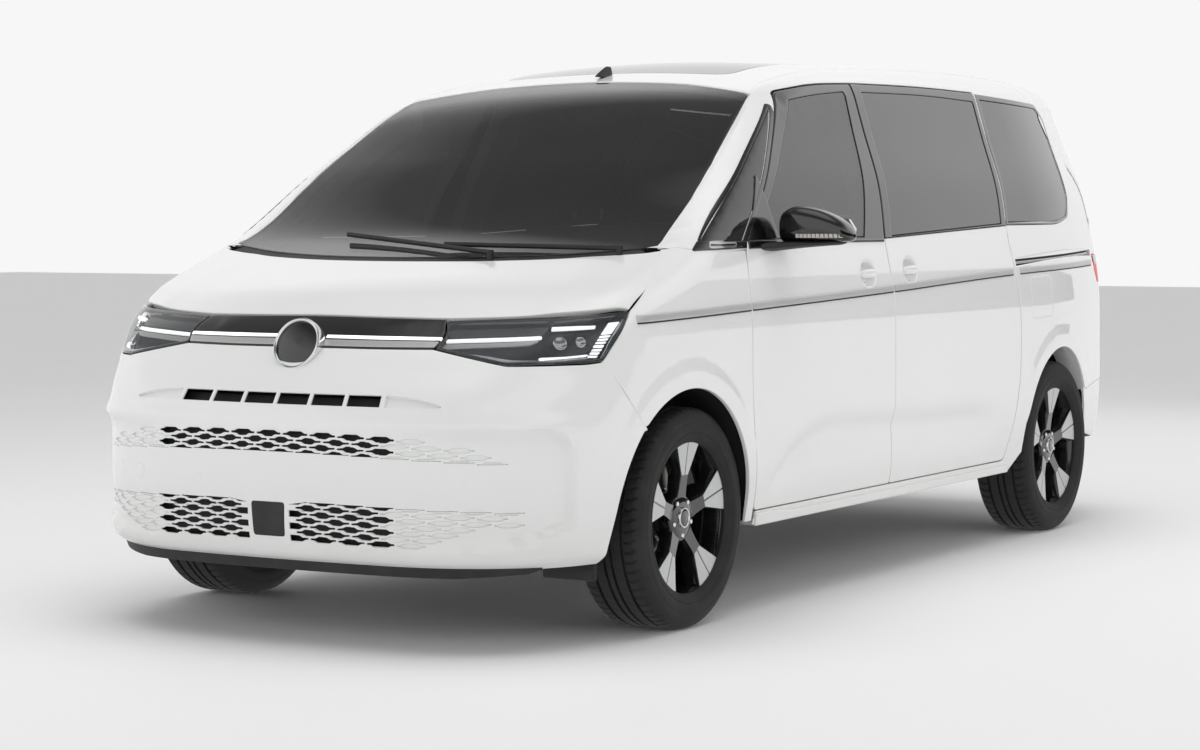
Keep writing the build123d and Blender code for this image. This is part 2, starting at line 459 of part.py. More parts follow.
save("front_seats", [seat(XF - 1120, 400, 520), seat(XF - 1120, -400, 520)])
save("rear_seats", [seat(XF - 2080, y, 460) for y in (-500, 0, 500)] + [seat(XF - 2960, y, 370) for y in (-380, 0, 380)])
antenna = Pos(XF - 1055, 0, surface_z(-1055) + 16) * Box(120, 26, 44)
save("antenna", largest(antenna - slab(roof_grid, -SEAT_GAP, 26)))
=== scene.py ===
# %% [markdown]
# # A white family van, dressed round its CAD frame
# The CAD model already gives the van its bodies, joints and true size. This script adds what the
# eye looks for: rolled panel edges, tight shut lines, glass set in black frames, lamps with
# depth, moulded grilles, machined wheels and stitched seats. Each step is one small cell that
# explains the real part first and then makes it.
#
# Almost every outer surface of a van is one smooth form that is later cut into panels. So the form
# comes first, as a formula, and every panel, pane and trim strip is a piece of that formula.

# %% Load the frame
import json
import bpy
import numpy as np
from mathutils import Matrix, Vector
from mathutils.geometry import delaunay_2d_cdt

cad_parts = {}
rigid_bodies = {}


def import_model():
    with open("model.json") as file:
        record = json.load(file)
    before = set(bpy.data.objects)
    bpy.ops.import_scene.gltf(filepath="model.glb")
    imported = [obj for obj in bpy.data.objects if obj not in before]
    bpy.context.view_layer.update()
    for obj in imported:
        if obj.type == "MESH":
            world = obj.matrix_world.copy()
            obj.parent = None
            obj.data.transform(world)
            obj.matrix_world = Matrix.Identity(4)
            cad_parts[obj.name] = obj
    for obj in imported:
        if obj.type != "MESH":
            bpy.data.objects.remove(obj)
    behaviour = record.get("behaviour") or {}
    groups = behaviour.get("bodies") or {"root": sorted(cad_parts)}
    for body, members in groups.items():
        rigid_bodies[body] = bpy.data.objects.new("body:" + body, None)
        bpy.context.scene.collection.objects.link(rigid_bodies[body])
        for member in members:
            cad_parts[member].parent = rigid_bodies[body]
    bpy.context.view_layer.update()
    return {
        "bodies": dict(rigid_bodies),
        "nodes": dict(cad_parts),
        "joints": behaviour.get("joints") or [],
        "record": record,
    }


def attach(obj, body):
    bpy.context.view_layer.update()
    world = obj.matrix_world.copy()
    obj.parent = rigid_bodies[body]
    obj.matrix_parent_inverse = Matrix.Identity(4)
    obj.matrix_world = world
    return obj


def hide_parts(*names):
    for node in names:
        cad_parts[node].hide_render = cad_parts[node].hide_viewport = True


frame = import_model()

# %% [markdown]
# ## The body form
# A body draughtsman thinks in millimetres and in stations measured from the front axle, and so does
# this cell. A handful of section curves give the roof line, windscreen, bonnet, widest line of the
# flank, nose and tail. `body` blends them into one smooth function of (station, width, height) that
# is negative inside the van, so its zero level is the skin.

# %% Section curves
FRONT_AXLE, AXLES, LONG, AXLE_Z = 1556.5, 3124.0, 4973.0, 347.0
NOSE_LINE, TAIL_LINE = -900, -2900  # stations of the upright lines for the unrolled views
UNROLLED = 1800  # how many mm one radian takes up in the unrolled views
ROOF = [(-4000, 1848), (-3500, 1884), (-2950, 1903), (-2200, 1893), (-1600, 1867), (-1100, 1838),
        (-700, 1787)]
SCREEN = [(-1200, 1843), (-800, 1714), (-400, 1485), (0, 1235), (300, 1113)]
BONNET = [(150, 1172), (400, 1105), (600, 1054), (790, 992)]
SIDE = [(200, 925), (500, 966), (760, 970.5), (1000, 964), (1200, 930), (1400, 885), (1600, 805),
        (1750, 747)]
NOSE = [(150, 845), (230, 885), (300, 912), (440, 928), (560, 928), (650, 925), (760, 893),
        (830, 862), (900, 846), (960, 812), (1010, 767), (1100, 680)]
NOSE_BOW = [(300, 0.10), (700, 0.14), (850, 0.16), (1000, 0.21)]
TAIL = [(200, 70), (300, 30), (450, 0), (700, 10), (1000, 18), (1200, 25), (1400, 50), (1600, 92),
        (1800, 135)]


def curve(points):
    """A smooth line through (position, value) points, straight beyond its ends (cubic Hermite
    pieces)."""
    t, v = np.array(sorted(points), float).T
    m = np.gradient(v, t)

    def at(q):
        """Value at each position."""
        q = np.asarray(q, float)
        i = np.clip(np.searchsorted(t, q) - 1, 0, len(t) - 2)
        h = t[i + 1] - t[i]
        u = np.clip((q - t[i]) / h, 0, 1)
        mid = ((2 * u**3 - 3 * u**2 + 1) * v[i] + (u**3 - 2 * u**2 + u) * h * m[i]
               + (3 * u**2 - 2 * u**3) * v[i + 1] + (u**3 - u**2) * h * m[i + 1])
        return mid + np.minimum(q - t[0], 0) * m[0] + np.maximum(q - t[-1], 0) * m[-1]
    return at


roof_z, screen_z, bonnet_z, side_y, nose_x, nose_bow, tail_x = map(
    curve, (ROOF, SCREEN, BONNET, SIDE, NOSE, NOSE_BOW, TAIL))


def join(a, b, k):
    """The larger of two distances, rounded where they cross over a width k."""
    h = np.maximum(k - np.abs(a - b), 0) / k
    return np.maximum(a, b) + h * h * k / 4


def body(s, y, z):
    """Distance outside the body form at station s, negative inside."""
    y = np.abs(y)
    width = side_y(z) - 1.24e-4 * np.maximum(s + 100, 0)**2 - 1.18e-4 * np.maximum(-s - 2900, 0)**2
    hood = bonnet_z(np.clip(s + 0.20e-3 * y * y, -200, 1300)) - 2e-5 * y * y
    glass = screen_z(np.clip(s + 0.13e-3 * y * y, -1500, 500))
    top = -join(-join(hood, glass, 30), -(roof_z(s) - y * y / 10000), 120)
    f = join(y - width, 0.9 * (z - top), 90)
    bow = nose_bow(np.clip(z, 300, 1000))
    f = join(f, s - nose_x(z) + bow * 1e-3 * y * y,
             np.interp(z, [300, 700, 900, 1050], [430, 430, 430, 300]))
    tail = 930 - LONG + tail_x(z) + 1e-4 * y * y
    return join(f, tail - s, 200)


# %% [markdown]
# ## Laying points on the form
# A panel is drawn flat and then laid on the form. Four flat views are enough: the side view for
# doors, a view unrolled round the van's length for the roof and body side, one unrolled round an
# upright line for the nose, and one for the tail. Each view sends a ray out of the van for every
# flat point, and halving the step forty times finds where the ray leaves the skin. The slope of
# `body` there is the surface normal, which also lets a panel have depth and relief.

# %% Views and rays
def side_view(p):
    """(station, height), seen from the left."""
    return np.stack([p[:, 0], 0 * p[:, 0] + 100, p[:, 1]], 1), np.array([0.0, 1, 0])


def wrap_view(p):
    """(station, 1000 x angle) round a line along the van at height 700; 0 is level on the left."""
    a = p[:, 1] / 1000
    return (np.stack([p[:, 0], 0 * a, 0 * a + 700], 1), np.stack([0 * a, np.cos(a), np.sin(a)], 1))


def plan_view(p):
    """(station, width), seen from above."""
    return np.stack([p[:, 0], p[:, 1], 0 * p[:, 0] + 700], 1), np.array([0.0, 0, 1])


def round_view(station):
    """(UNROLLED x angle, height) round an upright line at a station; 0 is straight ahead."""
    def view(p):
        """The view that land asks for."""
        a = p[:, 0] / UNROLLED
        return np.stack([0 * a + station, 0 * a, p[:, 1]],
                        1), np.stack([np.cos(a), np.sin(a), 0 * a], 1)
    return view


nose_view = round_view(NOSE_LINE)


def tail_view(p):
    """(width, height) seen from behind; above height 1700 the rays fan up to wrap over the roof
    edge."""
    a = np.radians(0.115 * np.maximum(p[:, 1] - 1700, 0))
    return (np.stack([0 * a - 3300, p[:, 0], np.minimum(p[:, 1], 1700)], 1),
            np.stack([-np.cos(a), 0 * a, np.sin(a)], 1))


def land(view, p):
    """Points on the skin, and the outward normals there, for flat points seen in a view."""
    start, way = view(np.asarray(p, float))
    lo, hi = np.zeros(len(start)), np.full(len(start), 2600.0)
    for _ in range(40):
        mid = (lo + hi) / 2
        inside = body(*(start + mid[:, None] * way).T) < 0
        lo, hi = np.where(inside, mid, lo), np.where(inside, hi, mid)
    q = start + lo[:, None] * way
    n = np.stack([body(*(q + d).T) - body(*(q - d).T) for d in np.eye(3) * 2.0], 1)
    return q, n / np.linalg.norm(n, axis=1)[:, None]


def wrapped(view, outline):
    """An outline drawn in one view, redrawn in the wrapped view."""
    q, _ = land(view, np.array([c[:2] for c in outline], float))
    a = 1000 * np.arctan2(q[:, 2] - 700, q[:, 1])
    return [(s, b, *c[2:]) for (s, _, _), b, c in zip(q, a, outline)]


# %% [markdown]
# ## From arrays to pieces
# `put` turns a point array in stations and millimetres into a mesh in metres, gives it a finish and
# tells the frame which body carries it. `grid` lists the faces of a row-and-column patch, and
# `pair` makes the left piece and its mirror image, whose faces are turned round so that they still
# look out.

# %% Mesh helpers
DOORS = ("door_left", "door_right")
SMOOTH_BELOW = np.radians(38.0)  # edges with a sharper turn stay crisp


def put(name, shape, finish, on="chassis", stands_for=()):
    """One mesh object from a shape: points (stations, mm) and a list of face arrays."""
    points, faces = shape
    points = np.asarray(points, float).reshape(-1, 3)
    lists = [f.tolist()
             for f in (np.asarray(f, int) for f in (faces if isinstance(faces, list) else [faces]))
             if len(f)]
    mesh = bpy.data.meshes.new(name)
    mesh.from_pydata(((points + [FRONT_AXLE, 0, 0]) / 1000).tolist(), [],
                     [f for part in lists for f in part])
    mesh.validate()
    mesh.shade_smooth()
    mesh.set_sharp_from_angle(angle=SMOOTH_BELOW)
    piece = bpy.data.objects.new(name, mesh)
    bpy.context.scene.collection.objects.link(piece)
    mesh.materials.append(finish)
    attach(piece, on)
    if stands_for:
        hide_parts(*stands_for)
    return piece


def grid(rows, cols, round_rows=False, round_cols=False):
    """The faces of a patch of rows x cols points, joined round in either direction if asked."""
    i, j = np.meshgrid(np.arange(rows - (not round_rows)), np.arange(cols - (not round_cols)),
                       indexing="ij")
    a, b = (i + 1) % rows, (j + 1) % cols
    return np.stack([i * cols + j, a * cols + j, a * cols + b, i * cols + b], -1).reshape(-1, 4)


def merged(*shapes):
    """Several (points, [faces]) shapes as one."""
    points, faces, base = [], [], 0
    for p, f in shapes:
        p = np.asarray(p, float).reshape(-1, 3)
        points.append(p)
        faces += [np.asarray(q, int) + base for q in (f if isinstance(f, list) else [f])]
        base += len(p)
    return np.concatenate(points), faces


def flip(shape):
    """The mirror image across the van's middle, still facing out."""
    p, f = shape
    return p * [1, -1, 1], [np.asarray(q)[:, ::-1] for q in (f if isinstance(f, list) else [f])]


def pair(name, shape, finish, on="chassis", slot=None, stands_for=(), whole=None):
    """The left piece and its mirror image, each on its own body. whole is a CAD node that the two
    stand for together; in stands_for, SIDE becomes left or right."""
    on = (on, on) if isinstance(on, str) else on
    for side, half, body_name in (("left", shape, on[0]), ("right", flip(shape), on[1])):
        piece = put(f"{name}_{side}", half, finish, body_name,
                    [n.replace("SIDE", side) for n in stands_for])
        if whole and side == "left":
            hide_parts(whole)


def loft(rows):
    """A closed bar through section loops of equal length, with flat ends, facing out."""
    rows = np.asarray(rows, float)
    m, k = rows.shape[:2]
    ends = np.stack([rows[0].mean(0), rows[-1].mean(0)])
    i = np.arange(k)
    j = (i + 1) % k
    caps = [np.stack([j, i, 0 * i + m * k], 1),
            np.stack([i + (m - 1) * k, j + (m - 1) * k, 0 * i + m * k + 1], 1)]
    return facing_out((np.concatenate([rows.reshape(-1, 3), ends]),
                       [grid(m, k, round_cols=True), *caps]))


def facing_out(shape):
    """Turn a closed shape's faces round if its signed volume is negative."""
    p, f = np.asarray(shape[0], float), [np.asarray(q) for q in shape[1]]
    volume = sum(np.sum(p[q[:, 0]] * np.cross(p[q[:, k]], p[q[:, k + 1]])) for q in f
                 for k in range(1, q.shape[1] - 1))
    return (p, f) if volume > 0 else (p, [q[:, ::-1] for q in f])


# %% [markdown]
# ## Panels
# A pressed panel has three things that a flat cut-out lacks: corners with a radius, an edge that
# rolls back on itself, and a thickness. `rounded` softens the corners of an outline. `panel` then
# makes rings that follow the outline inward along a quarter circle, which is the rolled edge, fills
# the inside with a grid of points, and lets a constrained Delaunay triangulation join them. The
# same layout laid deeper gives the inner face, so that each panel is closed. Relief, such as a
# wheel-arch flare, is a function of the place that pushes the skin out along its normal.

# %% Panel maker
def circle(count):
    """Evenly spaced angles once round, without the repeated last one."""
    return np.linspace(0, 2 * np.pi, count, endpoint=False)


def signed_area(p):
    """Twice the area inside a loop, positive when it runs anticlockwise."""
    return np.sum(p[:, 0] * np.roll(p[:, 1], -1) - np.roll(p[:, 0], -1) * p[:, 1])


def rounded(corners, radius=22.0, step=14.0):
    """A closed outline with its corners rounded. A corner is (a, b) or (a, b, radius); slight bends
    become long sweeps. Each corner is a quadratic curve between two points on its sides."""
    c = np.array([q[:2] for q in corners], float)
    r = np.array([q[2] if len(q) > 2 else radius for q in corners], float)
    before, after = np.roll(c, 1, 0) - c, np.roll(c, -1, 0) - c
    lb, la = np.linalg.norm(before, axis=1), np.linalg.norm(after, axis=1)
    turn = np.pi - np.arccos(np.clip(np.sum(before * after, 1) / (lb * la), -1, 1))
    most = 0.49 * np.minimum(lb, la)
    soft = (turn < np.radians(38)) & np.array([len(q) == 2 for q in corners])
    reach = np.where(soft, most, np.minimum(r * np.tan(turn / 2), most))
    t = np.linspace(0, 1, 7)[None, :, None]
    start, end = c + before / lb[:, None] * reach[:, None], c + after / la[:, None] * reach[:, None]
    arcs = (1 - t)**2 * start[:, None] + 2 * t * (1 - t) * c[:, None] + t**2 * end[:, None]
    p = arcs.reshape(-1, 2)
    p = p[np.linalg.norm(p - np.roll(p, 1, 0), axis=1) > 0.4]
    nxt = np.roll(p, -1, 0)
    parts = np.maximum(1, np.ceil(np.linalg.norm(nxt - p, axis=1) / step)).astype(int)
    k = np.repeat(np.arange(len(p)), parts)
    u = (np.arange(parts.sum()) - np.repeat(np.cumsum(parts) - parts, parts)) / parts[k]
    p = p[k] + (nxt[k] - p[k]) * u[:, None]
    return turned(p)


def inward(p):
    """For a loop with its material on the left: the step into the material at each point."""
    a, b = p - np.roll(p, 1, 0), np.roll(p, -1, 0) - p
    n = [np.stack([-v[:, 1], v[:, 0]], 1) / np.linalg.norm(v, axis=1)[:, None] for v in (a, b)]
    m = n[0] + n[1]
    return m * np.minimum(2 / np.sum(m * m, 1), 1.4)[:, None]


def inside(q, loops):
    """Whether each point lies in the material between an outline and its holes (a count of
    crossings)."""
    hits = np.zeros(len(q), int)
    for p in loops:
        (x0, y0), (x1, y1) = p.T, np.roll(p, -1, 0).T
        y, x = q[:, 1][:, None], q[:, 0][:, None]
        cross = (y0 > y) != (y1 > y)
        at = x0 + (y - y0) / np.where(y1 == y0, 1e-9, y1 - y0) * (x1 - x0)
        hits += np.sum(cross & (x < at), 1)
    return hits % 2 == 1


def distance(q, loops):
    """How far each point is from the nearest outline point."""
    return np.min([np.min(np.linalg.norm(q[:, None] - p[None], axis=2), 1) for p in loops], 0)


def turned(p, left=True):
    """A loop in the order that keeps its inside on the left, or on the right."""
    return p if (signed_area(p) > 0) == left else p[::-1]


def panel(view, outline, holes=(), wall=18.0, roll=3.0, cell=22.0, dense=(), relief=None, proud=0.0,
          grow=0.0, step=14.0, radius=22.0, cells=(), embossed=()):
    """A closed panel on the body form. dense holds (a, b, half width, half height, cell) patches
    that get a finer grid; relief(points) is an outward push in mm; grow moves the outline out.
    cells are small ready-made hole loops, and embossed holds (loop, depth) pockets with sloping
    sides."""
    loops = [rounded(outline, radius, step)] + [rounded(h, radius, step)[::-1] for h in holes]
    loops = [p - inward(p) * grow for p in loops] + [turned(np.array(c, float), False)
                                                     for c in cells]
    steps = [inward(p) for p in loops]
    rim = [(0.0, roll), (0.14 * roll, 0.5 * roll), (0.5 * roll, 0.14 * roll), (roll, 0.0),
           (roll + 4, 0.0)]
    rings = [[p + m * d for p, m in zip(loops, steps)] for d, _ in rim]
    inner = rings[-1]
    low, high = inner[0].min(0), inner[0].max(0)
    a, b = np.meshgrid(np.arange(low[0], high[0], cell), np.arange(low[1], high[1], cell),
                       indexing="ij")
    a = a + (np.arange(a.shape[1]) % 2) * cell / 2
    points = np.stack([a.ravel(), b.ravel()], 1)
    for ca, cb, wa, wb, fine in dense:
        points = points[((points[:, 0] - ca) / wa)**2 + ((points[:, 1] - cb) / wb)**2 > 1]
        a, b = np.meshgrid(np.arange(ca - wa, ca + wa, fine), np.arange(cb - wb, cb + wb, fine),
                           indexing="ij")
        a = a + (np.arange(a.shape[1]) % 2) * fine / 2
        extra = np.stack([a.ravel(), b.ravel()], 1)
        within = ((extra[:, 0] - ca) / wa)**2 + ((extra[:, 1] - cb) / wb)**2 <= 1
        points = np.concatenate([points, extra[within]])
    points = points[inside(points, inner)]
    near = distance(points, inner)
    points = points[near > 0.5 * min([cell] + [d[4] for d in dense])]
    pockets = [turned(np.array(c, float)) for c, _ in embossed]
    pockets = [q for p in pockets for q in (p, p + inward(p) * 2.2)]
    if pockets:
        points = points[~np.any([inside(points, [p]) for p in pockets[::2]], 0)]
        points = points[distance(points, pockets[::2]) > 0.35 * cell]
    rows_of = [*inner, *pockets]
    ends = np.cumsum([len(p) for p in rows_of])
    nxt = np.concatenate([np.roll(np.arange(e - len(p), e), -1) for p, e in zip(rows_of, ends)])
    flat = np.concatenate([*rows_of, points])
    sunk = np.zeros(len(flat))
    for k, (_, deep) in enumerate(embossed):
        e = ends[len(inner) + 2 * k + 1]
        sunk[e - len(pockets[2 * k + 1]):e] = deep
    out, _, tris, origin, _, _ = delaunay_2d_cdt([Vector(q) for q in flat.tolist()],
                                                 np.stack([np.arange(len(nxt)), nxt], 1).tolist(),
                                                 [], 0, 1e-4)
    ends = ends[:len(inner)]
    nxt = nxt[:ends[-1]]
    out, tris = np.array(out, float)[:, :2], np.array([t for t in tris if len(t) == 3])
    new_id = np.full(len(flat), -1)
    for new, olds in enumerate(origin):
        new_id[olds] = new
    tris = tris[inside(out[tris].mean(1), inner)]
    turn = np.cross(out[tris[:, 1]] - out[tris[:, 0]], out[tris[:, 2]] - out[tris[:, 0]])
    tris[turn < 0] = tris[turn < 0][:, ::-1]

    q, n = land(view, np.concatenate([out, *[p for ring in rings[:-1] for p in ring]]))
    push = relief(q) if relief is not None else np.zeros(len(q))
    push[new_id[:len(sunk)]] -= sunk
    m, count = len(out), ends[-1]
    depth = np.concatenate([np.zeros(m), *[np.full(count, e) for _, e in rim[:-1]]])
    skin = q + n * (push + proud - depth)[:, None]
    back = q[:m + count] - n[:m + count] * (wall - proud - np.minimum(push[:m + count], 0))[:, None]
    rows = [m + np.arange(count) + k * count for k in range(len(rim) - 1)] + [new_id[:count]]
    b_rows = [len(skin) + m + np.arange(count), len(skin) + new_id[:count]]
    strips = [np.stack([r0, r0[nxt], r1[nxt], r1], 1) for r0, r1 in zip(rows[:-1], rows[1:])]
    strips.append(np.stack([b_rows[0], b_rows[0][nxt], rows[0][nxt], rows[0]], 1))
    strips.append(np.stack([b_rows[1], b_rows[1][nxt], b_rows[0][nxt], b_rows[0]], 1))
    first = n[tris[0]].mean(0) @ np.cross(*(q[tris[0][1:]] - q[tris[0][0]]))
    faces = [tris, tris[:, ::-1] + len(skin), *strips]
    if first < 0:
        faces = [f[:, ::-1] for f in faces]
    return np.concatenate([skin, back]), faces

# %% [markdown]
# ## Finishes as formulas
# Every finish is procedural. `Finish` holds one material and `Value` one number or vector running
# between its nodes, so that a mask can be written as `1 - dust * 0.3`. Only what really changes
# over a surface is wired up; plain numbers are set straight on the shader.

# %% Shader expressions
class Value:
    """One number or vector on its way between shader nodes."""

    def __init__(self, finish, socket):
        self.finish, self.socket = finish, socket

    def maths(self, operation, *others, clamp=False):
        """A maths node on this value."""
        return self.finish.node("ShaderNodeMath", {i: v for i, v in enumerate((self, *others))},
                                operation=operation, use_clamp=clamp)

    def __add__(self, o): return self.maths("ADD", o)
    def __sub__(self, o): return self.maths("SUBTRACT", o)
    def __mul__(self, o): return self.maths("MULTIPLY", o)
    def __truediv__(self, o): return self.maths("DIVIDE", o)
    def __pow__(self, o): return self.maths("POWER", o)
    def __rsub__(self, o): return self.finish.node("ShaderNodeMath", {0: o, 1: self},
                                                   operation="SUBTRACT")
    __radd__, __rmul__ = __add__, __mul__

    def sin(self): return self.maths("SINE")
    def size(self): return self.maths("ABSOLUTE")
    def fold(self, width): return self.maths("PINGPONG", width)
    def most(self, o): return self.maths("MAXIMUM", o)

    def between(self, low, high, to_low=0.0, to_high=1.0):
        """Remapped smoothly from low..high to to_low..to_high, and held beyond."""
        return self.finish.node("ShaderNodeMapRange", {0: self, 1: low, 2: high, 3: to_low,
                                                       4: to_high}, interpolation_type="SMOOTHSTEP")


class Finish:
    """A material built from expressions around one Principled shader."""

    def __init__(self, name, **plain):
        self.material = bpy.data.materials.new(name)
        self.material.use_nodes = True
        self.tree = self.material.node_tree
        self.shader = next(n for n in self.tree.nodes if n.type == "BSDF_PRINCIPLED")
        for key, value in plain.items():
            self.shader.inputs[key.replace("_", " ")].default_value = value
        self.place = self.node("ShaderNodeTexCoord", output="Object")

    def node(self, kind, sockets=(), output=0, **settings):
        """A new node fed from a dictionary of sockets."""
        n = self.tree.nodes.new(kind)
        for key, value in settings.items():
            setattr(n, key, value)
        for key, value in dict(sockets).items():
            self.feed(n.inputs[key], value)
        return Value(self, n.outputs[output])

    def feed(self, socket, value):
        """Link a Value, or set a plain number."""
        if isinstance(value, Value):
            self.tree.links.new(value.socket, socket)
        else:
            socket.default_value = value

    def split(self, vector):
        """The three parts of a vector."""
        n = self.tree.nodes.new("ShaderNodeSeparateXYZ")
        self.feed(n.inputs[0], vector)
        return [Value(self, o) for o in n.outputs]

    def noise(self, scale, detail=2.0, rough=0.5, vector=None, stretch=None):
        """Soft noise over the piece, stretched if asked."""
        at = vector or self.place
        if stretch:
            at = self.node("ShaderNodeVectorMath", {0: at, 1: stretch}, operation="MULTIPLY")
        return self.node("ShaderNodeTexNoise", {"Vector": at, "Scale": scale, "Detail": detail,
                                                "Roughness": rough})

    def cells(self, scale, output="Distance", **settings):
        """Voronoi cells, for moulded grain."""
        return self.node("ShaderNodeTexVoronoi", {"Vector": self.place, "Scale": scale},
                         output=output, **settings)

    def colour(self, low, high, mask):
        """One colour fading into another by a mask."""
        return self.node("ShaderNodeMix", {0: mask, 6: (*low, 1), 7: (*high, 1)}, output=2,
                         data_type="RGBA")

    def set(self, **wired):
        """Wire values to the named shader inputs."""
        for key, value in wired.items():
            self.feed(self.shader.inputs[key.replace("_", " ")], value)
        return self

    def bump(self, height, strength=0.2, distance=0.001):
        """Fine relief as a bumped normal."""
        self.feed(self.shader.inputs["Normal"],
                  self.node("ShaderNodeBump", {"Height": height, "Strength": strength,
                                               "Distance": distance}))
        return self


# %% [markdown]
# ## Paint, glass and trims
# White paint is not one flat colour. The base coat varies a little in sheen over the panels. The
# lowest part of the flanks is greyed unevenly with painted shade, and is a little rougher there.
# Black trims are either piano black with a faint peel or fine-grained moulded plastic. Glass is a
# thin dark pane that lets part of the light by.

# %% Outer finishes
def paint(name, base, painted_low_shade, frame=None):
    """Clear-coated paint. frame is the colour of the door frames above the waist, which rises to
    the rear."""
    f = Finish(name, Coat_Weight=1.0, Coat_Roughness=0.03, IOR=1.5)
    along, _, height = f.split(f.place)
    # low greys the flanks below 0.62 m towards the second colour: painted shade, made uneven by
    # noise. It also raises the roughness a little there.
    low = (1 - height.between(0.18, 0.62)) * (f.noise(3.0, 4.0) * 0.8 + 0.2)
    colour = f.colour(base, painted_low_shade, low * 0.35)
    if frame:
        waist = (0.1065 - along).most(0.0) * 0.0366 + 1.2055
        above = (height - waist).between(0.0, 0.001)
        colour = f.node("ShaderNodeMix", {0: above, 6: colour, 7: (*frame, 1)}, output=2,
                        data_type="RGBA")
    f.set(Base_Color=colour, Roughness=low * 0.15 + f.noise(6.0) * 0.03 + 0.33)
    return f.material


# The second colour of each paint is the painted shade on the lower flanks.
white = paint("white_paint", (0.83, 0.84, 0.83), (0.52, 0.51, 0.48))
door_white = paint("door_paint", (0.83, 0.84, 0.83), (0.52, 0.51, 0.48), frame=(0.01, 0.01, 0.011))


def moulded(name, base, worn, rough, grain=900.0, strength=0.25, **plain):
    """Plastic or rubber with a fine moulded grain and a slight cloudiness."""
    f = Finish(name, **plain)
    cloud = f.noise(14.0, 3.0)
    f.set(Base_Color=f.colour(base, worn, cloud.between(0.35, 0.8)), Roughness=cloud * 0.12
          + (rough - 0.06))
    return f.bump(f.cells(grain), strength, 0.0002).material


piano = moulded("piano_black", (0.006, 0.006, 0.007), (0.011, 0.011, 0.012), 0.08, 260.0, 0.03,
                Coat_Weight=1.0)
grained = moulded("grained_black", (0.016, 0.016, 0.017), (0.028, 0.028, 0.03), 0.55)
liner = moulded("arch_liner_felt", (0.007, 0.007, 0.007), (0.014, 0.014, 0.014), 0.95, 420.0, 0.6)
seal = moulded("rubber_seal", (0.012, 0.012, 0.012), (0.02, 0.02, 0.02), 0.6, 1500.0, 0.15)
dash_plastic = moulded("dash_plastic", (0.02, 0.02, 0.021), (0.032, 0.032, 0.033), 0.62, 650.0, 0.4)
castings = moulded("cast_metal", (0.05, 0.05, 0.052), (0.09, 0.085, 0.08), 0.65, 300.0, 0.4,
                   Metallic=0.7)


def pane(name, tint, alpha):
    """Safety glass: a dark pane, clearer or darker by its alpha, with a barely wavy surface."""
    f = Finish(name, Roughness=0.02, IOR=1.6, Coat_Weight=0.8, Coat_Roughness=0.01)
    wave = f.noise(5.0, 1.0)
    f.set(Base_Color=f.colour(tint, tuple(c * 1.4 for c in tint), wave), Alpha=wave * 0.03
          + (alpha - 0.015))
    return f.bump(wave, 0.02, 0.002).material


clear_glass = pane("clear_glass", (0.012, 0.013, 0.012), 0.62)
door_glass = pane("door_glass", (0.016, 0.018, 0.017), 0.78)
dark_glass = pane("privacy_glass", (0.006, 0.007, 0.007), 0.95)
lens = pane("lamp_lens", (0.10, 0.11, 0.12), 0.16)


def metal(name, base, rough, grain=(1, 1, 1), depth=0.05, **plain):
    """Metal with a brushed or turned grain: noise stretched along the grain."""
    f = Finish(name, **{"Metallic": 1.0, **plain})
    lines = f.noise(260.0, 3.0, stretch=grain)
    f.set(Base_Color=f.colour(tuple(c * 0.86 for c in base), base, lines), Roughness=lines * 0.12
          + rough - 0.06)
    return f.bump(lines, depth, 0.0002).material


satin = metal("satin_silver", (0.78, 0.78, 0.77), 0.4, (0.05, 1, 1), Metallic=0.8)
chrome = metal("bright_chrome", (0.82, 0.83, 0.84), 0.09)
machined = metal("machined_alloy", (0.74, 0.75, 0.75), 0.42, (1, 0.15, 1), 0.1, Metallic=0.8)
reflector = metal("lamp_reflector", (0.72, 0.74, 0.76), 0.16)
disc_steel = metal("brake_disc", (0.36, 0.34, 0.32), 0.34, (1, 0.1, 1), 0.15)


def glow(name, base, light, strength):
    """A diffusing light guide, lit softly from within."""
    f = Finish(name, Roughness=0.3, Emission_Strength=strength)
    f.set(Base_Color=f.colour(base, tuple(min(c * 1.1, 1) for c in base), f.noise(60.0)),
          Emission_Color=f.colour(light, tuple(c * 0.9 for c in light), f.noise(25.0)))
    return f.material


led_white = glow("light_guide", (0.85, 0.87, 0.9), (1.0, 1.0, 1.0), 0.9)
tail_red = glow("tail_lamp_red", (0.5, 0.008, 0.01), (0.9, 0.02, 0.02), 0.25)
indicator = glow("indicator_segments", (0.4, 0.38, 0.36), (0.6, 0.5, 0.4), 0.15)

# %% [markdown]
# ## Where the panels part
# These outlines are the shut lines. The doors, glass and lamps are drawn in the side view, the
# windscreen and roof glass in plan, and the tailgate from behind. Both a panel and its neighbour
# use the same line, so the gaps stay even.

# %% Outlines (stations and heights in mm)
DOOR_EDGE = [(-386, 1204), (-366, 1120), (-354, 976), (-352, 800), (-364, 620), (-392, 440),
             (-400, 334)]
FRONT_DOOR = DOOR_EDGE[:-1] + [(-400, 334, 30), (-1457, 334, 12), (-1455, 1026), (-1441, 1198),
                               (-1553, 1764, 10), (-1250, 1750), (-950, 1712, 120)]
SLIDE_DOOR = [(-1462, 334, 12), (-2528, 334, 40), (-2592, 470), (-2645, 640), (-2655, 860),
              (-2615, 1110), (-2598, 1235), (-2702, 1776, 14), (-2200, 1778), (-1563, 1766, 10),
              (-1450, 1198), (-1460, 1026)]
FRONT_GLASS = [(-436, 1210, 6), (-1010, 1688, 30), (-1220, 1714), (-1480, 1735, 14), (-1400, 1480),
               (-1280, 1212, 6)]
SLIDE_GLASS = [(-1510, 1214, 8), (-2560, 1256, 8), (-2612, 1500), (-2668, 1742, 12), (-2200, 1750),
               (-1620, 1738, 12)]
REAR_GLASS = [(-2630, 1262, 8), (-3180, 1264), (-3340, 1290, 60), (-3412, 1370, 60), (-3440, 1560),
              (-3462, 1690, 40), (-3400, 1740, 50), (-2738, 1752, 10), (-2680, 1500)]
